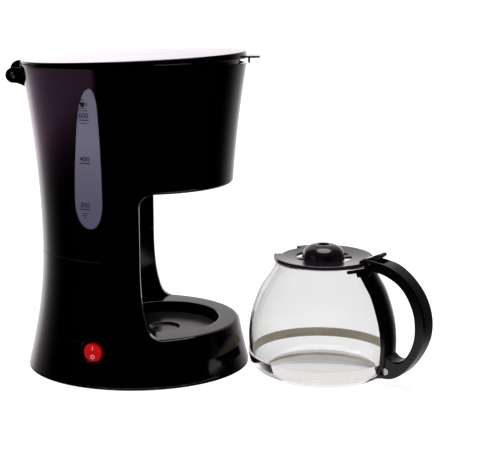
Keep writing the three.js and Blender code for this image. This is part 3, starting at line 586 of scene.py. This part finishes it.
def hinge_ear(low, high):
    top, bottom, foot = HINGE_Z + EAR_RADIUS, HINGE_Z - EAR_RADIUS, HINGE_Z - 11.5
    side = arc(HINGE_X, HINGE_Z, EAR_RADIUS, 90, 270, 24)
    side += quadratic((HINGE_X, bottom), (-93, bottom), (-86, foot))[1:]
    side += [(-84, foot), (-84, top)]
    return prism(side, low, high, 0.7)


edge_z = HEAD_FLOOR_Z + HEAD_EDGE
rim_x = half_length(RIM_Z)
head = lathe([
    (0, HEAD_FLOOR_Z), *arc(half_length(edge_z) - HEAD_EDGE, edge_z, HEAD_EDGE, -90, 0, 8),
    *oval_profile(edge_z + 2, RIM_Z - 0.6), (rim_x - 0.2, RIM_Z - 0.2), (rim_x - 0.7, RIM_Z),
    (0, RIM_Z),
], HOUSING_SEGMENTS, OVAL)
rows = [*spaced(SEAM_Z + 0.7, 144, 2.2), *spaced(145, HEAD_FLOOR_Z - 0.001, 0.9), 157.5, edge_z]
sections = [column_section(SEAM_Z + 0.15, 0.12)] + [column_section(z) for z in rows]
sections.append(column_section(edge_z + 2, SUNK))
upper = join(head, loft(sections), hinge_ear(-9, -5), hinge_ear(5, 9))
hollow = lathe(
    [(0, 114), *oval_profile(114, RIM_Z + 5, WALL), (0, RIM_Z + 5)], HOUSING_SEGMENTS, OVAL)
cut(hollow, bay(WALL))
pane_front = oval_profile(120, 250, WINDOW_DEPTH, 3)
pane_back = oval_profile(120, 250, WINDOW_DEPTH + WINDOW_THICK, 3)
pane = lathe([*pane_front, *pane_back[::-1]], PANE_SEGMENTS, OVAL)
cut(
    upper,
    hollow,
    prism(window_outline(GAP), -100, -55.5),
    rod(HINGE_BORE, -20, 20, HINGE_X, HINGE_Z, 0),
    lathe([(0, 150), (9, 150), (9, 165), (0, 165)], 64, at=(PLATE_X, 0)),
)
show(upper, "upper_housing_shell", gloss_black, "machine", ["upper_housing"], sharp=28)

combine(pane, prism(window_outline(0), -100, -40), "INTERSECT")
show(pane, "window_pane", smoke, "machine", ["level_window"], sharp=28)

# ---------------------------------------------------------------- marks on the level window


def on_window(obj):
    """Wraps a flat mark, drawn in X and Z, on the pane."""
    bm = bmesh.new()
    bm.from_mesh(obj.data)
    bmesh.ops.triangulate(bm, faces=bm.faces)
    bm.to_mesh(obj.data)
    bm.free()

    def wrap(co):
        proud = MARK_PROUD if co.y < 0.5 else MARK_PROUD - MARK_THICK
        a = half_length(co.z) - WINDOW_DEPTH + proud
        return Vector((co.x, -OVAL * a * math.sqrt(1 - (co.x / a) ** 2), co.z))

    return moved(obj, wrap)


def bar(x0, x1, z0, z1):
    """A flat bar, with points close enough together to bend round the pane."""
    width = spaced(x0, x1, 0.8)
    outline = [(x, z0) for x in width] + [(x, z1) for x in reversed(width)]
    return prism(outline, 0, 1)


def numeral(text, x, z, height):
    curve = bpy.data.curves.new("numeral", "FONT")
    curve.body = text
    curve.size = height * 1.4
    curve.align_x = "CENTER"
    curve.extrude = 0.5
    curve.offset = 0.08
    holder = linked("numeral", curve)
    graph = bpy.context.evaluated_depsgraph_get()
    mesh = bpy.data.meshes.new_from_object(holder.evaluated_get(graph))
    obj = linked("numeral_mesh", mesh)
    bpy.data.objects.remove(holder)
    return moved(obj, lambda co: Vector((x + co.x, 0.5 - co.z, z + co.y)))


marks = []
for label, z_line, x in (("600", 215.3, 0), ("400", 180.9, -0.5), ("200", 143.8, -1.8)):
    marks.append(bar(x - 37.2, x - 28.8, z_line - 0.45, z_line + 0.35))
    marks.append(numeral(label, x - 33, z_line + 1.7, 3.9))
marks.append(bar(-36.2, -30, 212.6, 213.1))
# Plain bars stand in for the small lettering, and a cup with steam for the pictogram.
for x0, x1, z in (
    (-36.6, -34.4, 222.3), (-33.8, -32.6, 222.3), (-32, -29.6, 222.3), (-37.4, -35.8, 140.2),
    (-35, -32.4, 140.2), (-37, -33.2, 138.4), (-36, -34.2, 136.4),
):
    marks.append(bar(x0, x1, z, z + 0.7))
marks.append(prism([
    (-35.6, 229.2), (-35.2, 226.6), (-34.4, 225.4), (-32.6, 225.4), (-31.8, 226.6), (-31.4, 229.2),
], 0, 1))
marks.append(prism(arc(-31.2, 227.8, 1.5, -80, 80, 10) + arc(-31.2, 227.8, 0.8, 80, -80, 10), 0, 1))
marks.append(bar(-36.4, -30.6, 224.2, 224.7))
for x in (-34.6, -32.9):
    marks.append(prism([(x, 230.2), (x + 0.7, 230.2), (x + 0.3, 232.2), (x - 0.4, 232.2)], 0, 1))
for i, obj in enumerate(marks):
    show(on_window(obj), f"level_mark_{i + 1}", mark, "machine", weighted=False)

# ---------------------------------------------------------------- lid and hinge


def lean(co):
    """Tips the lid up towards the front, its top face more than its seam."""
    share = max(0.0, (co.z - LID_SEAM_Z) / (LID_TOP_Z - LID_SEAM_Z))
    return Vector((co.x, co.y, co.z + co.x * (0.018 + 0.022 * share)))


cap = moved(lathe([
    (0, LID_TOP_Z - 2.2), (LID_RADIUS - 2.4, LID_TOP_Z - 2.2), (LID_RADIUS - 2.4, LID_SEAM_Z),
    (LID_RADIUS - 0.4, LID_SEAM_Z), (LID_RADIUS, LID_SEAM_Z + 0.4), (LID_RADIUS, LID_SEAM_Z + 1.4),
    *arc(LID_RADIUS - 1.4, LID_TOP_Z - 1.4, 1.4, 0, 90, 8), (LID_RADIUS - 4, LID_TOP_Z), (0, LID_TOP_Z),
], LID_SEGMENTS, OVAL), lean)
flange_out = half_length(RIM_Z - 4) - WALL - 0.8
flange_in = flange_out - 1.8
flange = moved(lathe([
    (flange_in, RIM_Z - 5), (flange_out, RIM_Z - 5), (flange_out, LID_TOP_Z - 1.5),
    (flange_in, LID_TOP_Z - 1.5),
], LID_SEGMENTS, OVAL), lean)
cut(flange, box((-120, -35), (-100, 100), (240, 275)), box((60, 120), (-16, 16), (240, 275)))
blade = prism([
    (90.6, -13), (100, -13), *arc(99.5, -9, 4, -90, 0, 8), *arc(99.5, 9, 4, 0, 90, 8), (90.6, 13),
], 259.4, 261, 0.5, along="Z")
hook = prism(
    [(93.6, 259.8), (93.6, 255.6), (94.2, 254.8), (95.4, 254.9), (95.4, 259.8)], -4, 4, 0.3)
knuckle = prism([
    (-87, 257.3), (-94.2, 257.1), *arc(-94.2, 249.6, 7.5, 90, 180, 14),
    *arc(HINGE_X, HINGE_Z, 5.2, 180, 360, 24), (-93.6, 255.8), (-87, 255.8),
], -4.6, 4.6, 0.5)
cut(knuckle, rod(HINGE_BORE, -20, 20, HINGE_X, HINGE_Z, 0))
lid = join(cap, flange, blade, hook, knuckle)
show(lid, "lid_shell", gloss_black, "lid", ["lid"], sharp=28)
pin = rod(HINGE_PIN, -8.6, 8.6, HINGE_X, HINGE_Z, 0.9)
show(pin, "lid_pin", brushed, "machine", ["lid_hinge_pin"])

# ---------------------------------------------------------------- plate, switch

top, under, face = PLATE_TOP_Z, PLATE_TOP_Z - 1.2, PLATE_TOP_Z - 0.12
plate = lathe([
    (0, under - 2), (11.2, under - 2), (13, under), (PLATE_RADIUS - 1, under),
    (PLATE_RADIUS, under + 0.6), *arc(PLATE_RADIUS - 0.6, top - 0.6, 0.6, 0, 90, 5),
    *[(r, face) for r in (43, 42, 30, 16)],
    *smooth([(13.6, face), (12.7, top - 0.4), (11.6, top - 1.6), (10.8, top - 2)], 4),
    (0, top - 2),
], at=(PLATE_X, 0))
show(plate, "plate_disc", plate_coating, "machine", ["warming_plate"], sharp=40)

bezel = turned_in(SWITCH, [
    (9.1, -11.5), (0, -11.5), (0, -13.5), (10.1, -13.5), (10.1, 0.9), (11.2, 0.9), (11.4, 1.2),
    (11.4, 1.8), (11.2, 2.25), (10.7, 2.55), (10.2, 2.6), (9.5, 2.4), (9.1, 2.0),
])
show(bezel, "switch_ring", gloss_black, "machine", ["switch_bezel"])


def dished(co):
    return Vector((co.x, co.y, co.z + (0.35 * (co.y / BUTTON_RADIUS) ** 2 if co.z > 5 else 0)))


rocker = moved(lathe([
    (0, 1.5), (BUTTON_RADIUS, 1.5), (BUTTON_RADIUS, 4.6), (7.65, 5.05), (7.3, 5.35),
    *[(r, 5.42) for r in (6.5, 5, 3.5, 2, 0)],
], FINE_SEGMENTS), dished)
join(rocker, box((-4.5, 4.5), (-2.5, 2.5), (-4, 2)))
rocker.data.transform(ROCKER)
show(rocker, "switch_button", switch_red, "switch_rocker", ["switch_rocker"])
symbol_i = box((-0.28, 0.28), (2.2, 4.9), (5.4, 5.66))
symbol_o = prism(circle(0, -3.6, 1.75), 5.4, 5.62, along="Z")
cut(symbol_o, prism(circle(0, -3.6, 1.15), 5, 6, along="Z"))
for obj, name in ((symbol_i, "switch_mark_on"), (symbol_o, "switch_mark_off")):
    obj.data.transform(ROCKER)
    show(obj, name, white_mark, "switch_rocker", weighted=False)

# ---------------------------------------------------------------- carafe glass and band

GLASS = smooth([
    (47, 0), (53.5, 2.2), (57.8, 7), (60.3, 16), (61.5, 30), (60.8, 42), (58.2, 54.5), (52.3, 71.5),
    (46.3, 81.5), (41.8, 88.5), (NECK_RADIUS, 92), (NECK_RADIUS, NECK_TOP_Z),
], 7)


def glass_side(offset):
    """The glass's outline, moved outwards by the offset."""
    out = []
    for i, (r, z) in enumerate(GLASS):
        before, after = Vector(GLASS[max(i - 1, 0)]), Vector(GLASS[min(i + 1, len(GLASS) - 1)])
        tangent = (after - before).normalized()
        out.append((r + offset * tangent.y, z - offset * tangent.x))
    return out


def glass_radius(z):
    """The glass's outer radius at this height."""
    for (r0, z0), (r1, z1) in zip(GLASS, GLASS[1:]):
        if z0 <= z <= z1:
            return r0 + (r1 - r0) * (z - z0) / (z1 - z0)
    return GLASS[-1][0]


def spout(co):
    """Draws the rim out into a small lip, opposite the handle."""
    if co.x == 0 and co.y == 0:
        return co
    away = math.degrees(math.atan2(co.y, -co.x)) / 17
    pull = 1 + 0.09 * math.exp(-away * away) * max(0.0, co.z - 86) / 8.6
    return Vector((co.x * pull, co.y * pull, co.z))


inner = [(r, max(z, 2.6)) for r, z in glass_side(-2)][::-1]
rim = [
    (NECK_RADIUS, NECK_TOP_Z - 0.4), (NECK_RADIUS - 0.4, NECK_TOP_Z),
    (NECK_RADIUS - 1.6, NECK_TOP_Z), (NECK_RADIUS - 2, NECK_TOP_Z - 0.4),
]
glass = moved(lathe([
    (0, 1.2), (44, 1.2), (45.6, 0.2), *glass_side(0)[:-1], *rim, *inner[1:], (30, 2.9), (0, 3.1),
], GLASS_SEGMENTS), spout)
show(glass, "carafe_bowl", clear_glass, "carafe", ["carafe_glass"], CARAFE, sharp=60,
     weighted=False)
# Its image in the glossy base was mottled, and its shadow darkened the inside of the band.
glass.visible_glossy = glass.visible_shadow = glass.visible_diffuse = False

rows = spaced(10.5, 18, 1.5)
band = lathe(
    [(glass_radius(z) + BAND_INNER, z) for z in rows]
    + [(glass_radius(z) + BAND_OUTER, z) for z in rows[::-1]], GLASS_SEGMENTS)
cut(band, box((0, 90), (-3.6, 3.6), (0, 30)))
show(band, "carafe_hoop", band_steel, "carafe", [], CARAFE)
band.data.materials.append(band_inside)
for face in band.data.polygons:
    outwards = face.center - Vector((*CARAFE.translation.xy, face.center.z))
    if face.normal.dot(outwards) < 0 and abs(face.normal.z) < 0.7:
        face.material_index = 1

# ---------------------------------------------------------------- carafe handle

GRIP_OUTER = [
    (50, 102.2), (58, 101.2), (68, 98.6), (77.5, 92.6), (85.5, 85), (91.7, 76.5), (96, 66.5),
    (98, 56), (97.4, 45), (94.4, 35.5), (89.5, 26), (83.5, 17.5), (77, 11), (69.5, 6.8), (62, 5.6),
]
GRIP_INNER = [
    (66, 25.5), (70, 22.6), (75, 22.2), (79.5, 24.5), (83.4, 29.4), (86.8, 36.5), (88.8, 45),
    (88.9, 54), (87.6, 63), (84, 72), (78, 81), (70, 87.4), (59, 91.8), (51, 92.2), (47.5, 88),
]


def evenly(points, count):
    """The points of a line spaced evenly along it."""
    line = [Vector(p) for p in points]
    lengths = [(b - a).length for a, b in zip(line, line[1:])]
    out, i, passed = [], 0, 0.0
    for k in range(count):
        target = sum(lengths) * k / (count - 1)
        while i < len(lengths) - 1 and passed + lengths[i] < target:
            passed += lengths[i]
            i += 1
        out.append(line[i].lerp(line[i + 1], min(1.0, (target - passed) / lengths[i])))
    return out


def grip_section(outer, inner):
    """A rounded oblong between the handle's outer and inner line."""
    across = (outer - inner).normalized()
    near, far, side = GRIP_EDGE, (outer - inner).length - GRIP_EDGE, GRIP_HALF - GRIP_EDGE
    out = []
    for u, y, start in ((far, side, 0), (near, side, 90), (near, -side, 180), (far, -side, 270)):
        for p, q in arc(u, y, GRIP_EDGE, start, start + 90, 5):
            out.append((inner.x + across.x * p, q, inner.y + across.y * p))
    return out


outside = evenly([(43, 102.2), *smooth(GRIP_OUTER, 6), (50, 5.6)], GRIP_ROWS)
underside = evenly([(43, 88), *reversed(smooth(GRIP_INNER, 6)), (50, 25.5)], GRIP_ROWS)
grip = loft([grip_section(a, b) for a, b in zip(outside, underside)])

# The strap follows the glass from the band to the neck, with a crowned outside.
strap_sections = []
for (r, z), (r1, z1) in zip(glass_side(0), glass_side(1)):
    if not 8 < z < 92:
        continue
    section = []
    for side, spread in ((1, 1), (0, -1)):
        for i in range(25):
            u = spread * (-12.6 + 25.2 * i / 24)
            crown = 1.9 + 3.2 * math.sqrt(max(0.0, 1 - (u / 12.7) ** 2)) if side else 1.85
            reach = r + (r1 - r) * crown
            angle = u / reach
            section.append((reach * math.cos(angle), reach * math.sin(angle), z + (z1 - z) * crown))
    strap_sections.append(section)
strap = loft(strap_sections)


def saddle(reach, low):
    """Part of a collar round the neck, reaching this many degrees to both sides."""
    outline = arc(0, 0, NECK_RADIUS + 4.4, -reach, reach, 30)
    outline += arc(0, 0, NECK_RADIUS + 1.4, reach, -reach, 30)
    return prism(outline, low, NECK_TOP_Z + 0.1, 0.5, along="Z")


handle = join(grip, strap, saddle(32, 92.3), saddle(20, 88.5))
room = lathe(
    [(0, -1), (47, -1), *glass_side(1.8), (NECK_RADIUS + 1.4, 110), (0, 110)], GLASS_SEGMENTS)
lever_room = rod(12.6, -6.5, 6.5, PIN_X, PIN_Z, 0)
combine(lever_room, box((30, 70), (-7, 7), (94.1, 120)), "INTERSECT")
cut(
    handle,
    room,
    box((50, 69), (-4.4, 4.4), (9.9, 18.6)),
    lever_room,
    box((30, PIN_X - 4), (-30, 30), (95, 110)),
    rod(PIN_BORE, -20, 20, PIN_X, PIN_Z, 0),
    rod(1.8, -20, 20, BAND_SCREW_X, BAND_SCREW_Z, 0),
    rod(3.5, -20, -5.8, BAND_SCREW_X, BAND_SCREW_Z, 0),
    rod(3.4, 5.8, 20, BAND_SCREW_X, BAND_SCREW_Z, 0),
)
show(
    handle, "handle_grip", handle_black, "carafe", ["carafe_handle"], CARAFE, sharp=30)

for i, width in enumerate(((3.2, 4), (-4, -3.2))):
    lug = box((59.2, 68), width, (10.8, 17.2))
    bowl = [(0, 9), *[(glass_radius(z) + 0.7, z) for z in (9, 10.5, 18, 20)], (0, 20)]
    cut(lug, rod(1.9, -10, 10, BAND_SCREW_X, BAND_SCREW_Z, 0), lathe(bowl, FINE_SEGMENTS))
    show(lug, f"hoop_lug_{i + 1}", band_steel, "carafe", [], CARAFE)
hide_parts("carafe_band")
pin = rod(PIN_RADIUS, -7.8, 7.8, PIN_X, PIN_Z)
show(pin, "carafe_pin", steel, "carafe", ["carafe_lid_pin"], CARAFE)

# ---------------------------------------------------------------- carafe lid

top, radius = CARAFE_LID_TOP_Z, CARAFE_LID_RADIUS
disc = lathe([
    (0, 94.9), (14, 94.9), (17.4, 95.2), (radius - 0.5, 95.2), (radius, 95.7),
    *arc(radius - 0.8, top - 0.8, 0.8, 0, 90, 6),
    (36, top - 0.25), (30, top - 0.75), (24, top - 1), (17.6, top - 1.4),
    *smooth([(17.4, 98.6), (16.6, 102.4), (13.4, 105.7), (9, 107.6), (4.8, 108)], 6),
    (4.6, 107.6), (4.6, 104.4), (0, 104.4),
])
slots = lathe([(17.9, 90), (23.5, 90), (23.5, 110), (17.9, 110)])
for turn in (45, 135):
    bridge = box((-30, 30), (-2.5, 2.5), (70, 130))
    bridge.data.transform(Matrix.Rotation(math.radians(turn), 4, "Z"))
    cut(slots, bridge)
notch = prism(arc(0, 0, 60, 155, 205, 24) + arc(0, 0, 34.5, 205, 155, 24), 80, 120, along="Z")
tab = prism([
    (37, 96), (37, 99.6),
    *smooth([(41.5, 102.4), (47, 104), (53.2, 107.2), (56, 106.8), (55.4, 104.4), (50.4, 101.2)], 5),
    *arc(PIN_X, PIN_Z, 3.6, 20, -130, 16), (42, 96),
], -5.8, 5.8, 0.6)
cut(tab, rod(PIN_BORE, -20, 20, PIN_X, PIN_Z, 0))
chimney = lathe([(0, 96.5), (4.6, 96.5), (4.6, 120), (0, 120)], 64)
carafe_lid = cut(join(cut(disc, notch), tab), slots, chimney)
show(
    carafe_lid, "carafe_cover", lid_black, "carafe_lid", ["carafe_lid"], CARAFE,
    sharp=30)

# ---------------------------------------------------------------- stage


def sheet(points, faces=None):
    """A mesh of these faces, or of one face through all the points."""
    mesh = bpy.data.meshes.new("sheet")
    mesh.from_pydata(points, [], faces or [tuple(range(len(points)))])
    return mesh


def sphere(radius):
    mesh = bpy.data.meshes.new("sphere")
    bm = bmesh.new()
    bmesh.ops.create_uvsphere(bm, u_segments=48, v_segments=24, radius=radius)
    bm.to_mesh(mesh)
    bm.free()
    return mesh


def panel(name, mesh, strength, colour=(1, 1, 1), **seen):
    """A glowing surface, seen only by the kinds of ray named."""
    obj = linked(name, mesh)
    material = bpy.data.materials.new(name)
    material.use_nodes = True
    tree = material.node_tree
    tree.nodes.remove(tree.nodes["Principled BSDF"])
    glow = tree.nodes.new("ShaderNodeEmission")
    glow.inputs["Color"].default_value = (*colour, 1)
    glow.inputs["Strength"].default_value = strength
    tree.links.new(glow.outputs["Emission"], tree.nodes["Material Output"].inputs["Surface"])
    mesh.materials.append(material)
    for kind in ("camera", "diffuse", "glossy", "transmission", "shadow"):
        setattr(obj, f"visible_{kind}", seen.get(kind, False))
    return obj


def add_shader(tree, kind):
    """A second shader of this kind, added to the glow."""
    node = tree.nodes.new(kind)
    both = tree.nodes.new("ShaderNodeAddShader")
    tree.links.new(tree.nodes["Emission"].outputs[0], both.inputs[0])
    tree.links.new(node.outputs[0], both.inputs[1])
    tree.links.new(both.outputs[0], tree.nodes["Material Output"].inputs["Surface"])
    return node


def curve(tree, value, stops):
    """A smooth curve of a value, through (value, result) stops."""
    span = tree.nodes.new("ShaderNodeMapRange")
    ramp = tree.nodes.new("ShaderNodeFloatCurve")
    low, high = stops[0][0], stops[-1][0]
    peak = max(result for _, result in stops)
    span.inputs["From Min"].default_value = low
    span.inputs["From Max"].default_value = high
    points = ramp.mapping.curves[0].points
    for i, (position, result) in enumerate(stops):
        at = ((position - low) / (high - low), result / peak)
        if i in (0, len(stops) - 1):
            points[0 if i == 0 else -1].location = at
        else:
            points.new(*at)
    ramp.mapping.update()
    tree.links.new(value, span.inputs["Value"])
    tree.links.new(span.outputs["Result"], ramp.inputs["Value"])
    return calculate(tree, "MULTIPLY", ramp.outputs["Value"], peak)


def calculate(tree, operation, first, second=None):
    node = tree.nodes.new("ShaderNodeMath")
    node.operation = operation
    for socket, value in zip(node.inputs, (first, second)):
        if isinstance(value, (int, float)):
            socket.default_value = value
        elif value is not None:
            tree.links.new(value, socket)
    return node.outputs["Value"]


def bearings(tree):
    """The bearing and the height angle in degrees, and the distance across. The bearing is 0 at -Y
    and negative to the left."""
    x, y, z = coordinates(tree)
    squares = [calculate(tree, "MULTIPLY", side, side) for side in (x, y)]
    distance = calculate(tree, "SQRT", calculate(tree, "ADD", *squares))
    towards = calculate(tree, "MULTIPLY", y, -1)
    around = calculate(tree, "DEGREES", calculate(tree, "ARCTAN2", x, towards))
    height = calculate(tree, "DEGREES", calculate(tree, "ARCTAN2", z, distance))
    return around, height, distance


FLOOR_Z, FLOOR_HALF = -0.0002, 9
FLOOR_WHITE, FLOOR_WHITE_FAR = 0.92, 1
SURROUND_RADIUS, DOME_RADIUS = 8.8, 4.0
STRIP_RADIUS, STRIP_LOW, STRIP_HIGH, STRIP_STRENGTH = 0.48, 0.04, 0.17, 0.5

corners = [
    (x * FLOOR_HALF, y * FLOOR_HALF, FLOOR_Z) for x, y in ((-1, -1), (1, -1), (1, 1), (-1, 1))]
floor = panel("floor", sheet(corners), 1.0, camera=True, diffuse=True, transmission=True)
tree = floor.data.materials[0].node_tree
_, _, distance = bearings(tree)
brightness = curve(tree, distance, [
    (0, FLOOR_WHITE), (0.4, FLOOR_WHITE), (0.9, 0.97), (2, FLOOR_WHITE_FAR), (14, FLOOR_WHITE_FAR)])
tree.links.new(brightness, tree.nodes["Emission"].inputs["Strength"])
add_shader(tree, "ShaderNodeBsdfDiffuse").inputs["Color"].default_value = (0.5, 0.5, 0.5, 1)

# A dark disc under the machine stands in for its contact shadow.
disc = circle(0, 0, half_length(BOTTOM_Z) - 0.5, 120)
shade = sheet([tuple(MACHINE @ Vector((x, OVAL * y, -0.1))) for x, y in disc])
panel("shade", shade, 0.0, camera=True, transmission=True)
panel("surround", sphere(SURROUND_RADIUS), 1.0, camera=True, transmission=True)

# What the glossy parts reflect: bright behind the machine and near the ground, dark in front of it.
dome = panel("dome", sphere(DOME_RADIUS), 1.0, (1, 0.94, 0.99), glossy=True, diffuse=True)
dome.location = (machine_axis.x, machine_axis.y, 0)
tree = dome.data.materials[0].node_tree
around, height, _ = bearings(tree)
round_about = curve(tree, around, [
    (-180, 0.95), (-168, 1.1), (-155, 1.42), (-141, 1.42), (-128, 0.86), (-113, 0.27), (-98, 0.05),
    (-86, 0), (-60, 0), (0, 0), (80, 0), (106, 0.005), (120, 0.12), (133, 0.42), (147, 0.68),
    (161, 0.95), (180, 0.95)])
up_and_down = curve(tree, height, [
    (-90, 0.95), (-14, 0.95), (-6, 1.1), (0, 1.35), (6, 1.4), (11, 1.2), (16, 0.85), (28, 0.6),
    (60, 0.45), (90, 0.45)])
strength = calculate(tree, "MULTIPLY", round_about, up_and_down)
tree.links.new(strength, tree.nodes["Emission"].inputs["Strength"])

# The lilac light that the machine's left side picks up: an upright strip round part of the left.
turns = [math.radians(t) for t in range(-150, -25, 2)]
strip = sheet(
    [(STRIP_RADIUS * math.sin(t), -STRIP_RADIUS * math.cos(t), z) for z in (STRIP_LOW, STRIP_HIGH)
     for t in turns],
    [(i, i + 1, len(turns) + i + 1, len(turns) + i) for i in range(len(turns) - 1)])
sheen = panel("sheen", strip, STRIP_STRENGTH, (1, 0.54, 0.9), glossy=True)
sheen.location = (machine_axis.x, machine_axis.y, 0)
tree = sheen.data.materials[0].node_tree
around, height, _ = bearings(tree)
sector = curve(tree, around, [
    (-180, 0), (-150, 0.1), (-128, 0.9), (-100, 1), (-60, 1), (-40, 1), (-34, 0.9), (-29, 0),
    (180, 0)])
upwards = curve(tree, height, [
    (0, 0), (5.5, 0), (7, 0.06), (10.3, 0.5), (13, 1), (18, 1), (19.4, 0.6), (90, 0)])
both_ways = calculate(tree, "MULTIPLY", sector, upwards)
strength = calculate(tree, "MULTIPLY", both_ways, STRIP_STRENGTH)
tree.links.new(strength, tree.nodes["Emission"].inputs["Strength"])
add_shader(tree, "ShaderNodeBsdfTransparent")

# The white ground that the carafe's band picks up.
left, right, near, far, level = 0.007, 0.282, -0.207, carafe_axis.y - 0.042, -0.0004
patch = sheet([(left, near, level), (right, near, level), (right, far, level), (left, far, level)])
panel("ground_patch", patch, 0.95, glossy=True)


def facing(direction):
    return direction.to_track_quat("-Z", "Y").to_euler()


lamp = bpy.data.lights.new("overhead", "AREA")
lamp.shape = "DISK"
lamp.size = 1.2
lamp.energy = 14
overhead = linked("overhead", lamp)
overhead.location = (0.1, 0.1, 1.5)
overhead.rotation_euler = facing(Vector((0, 0, 0.1)) - overhead.location)

world = bpy.data.worlds.new("world")
world.use_nodes = True
background = world.node_tree.nodes["Background"]
background.inputs["Color"].default_value = (0.9, 0.8, 0.9, 1)
background.inputs["Strength"].default_value = 0.02
bpy.context.scene.world = world
bpy.context.scene.view_settings.view_transform = "Standard"

# ---------------------------------------------------------------- camera

# Fitted to the ellipses of the lid, the base and the carafe in the photo.
SENSOR_WIDTH, PHOTO_WIDTH, FOCAL_PIXELS = 36, 479, 1161.8
YAW, PITCH = -0.011, 0.206

camera_data = bpy.data.cameras.new("camera")
camera_data.sensor_width = SENSOR_WIDTH
camera_data.lens = SENSOR_WIDTH * FOCAL_PIXELS / PHOTO_WIDTH
camera_data.clip_start, camera_data.clip_end = 0.02, 60
camera = linked("camera", camera_data)
camera.location = (machine_axis.x + 0.0972, machine_axis.y - 0.9623, 0.3195)
across = math.cos(PITCH)
camera.rotation_euler = facing(
    Vector((math.sin(YAW) * across, math.cos(YAW) * across, -math.sin(PITCH))))
bpy.context.scene.camera = camera
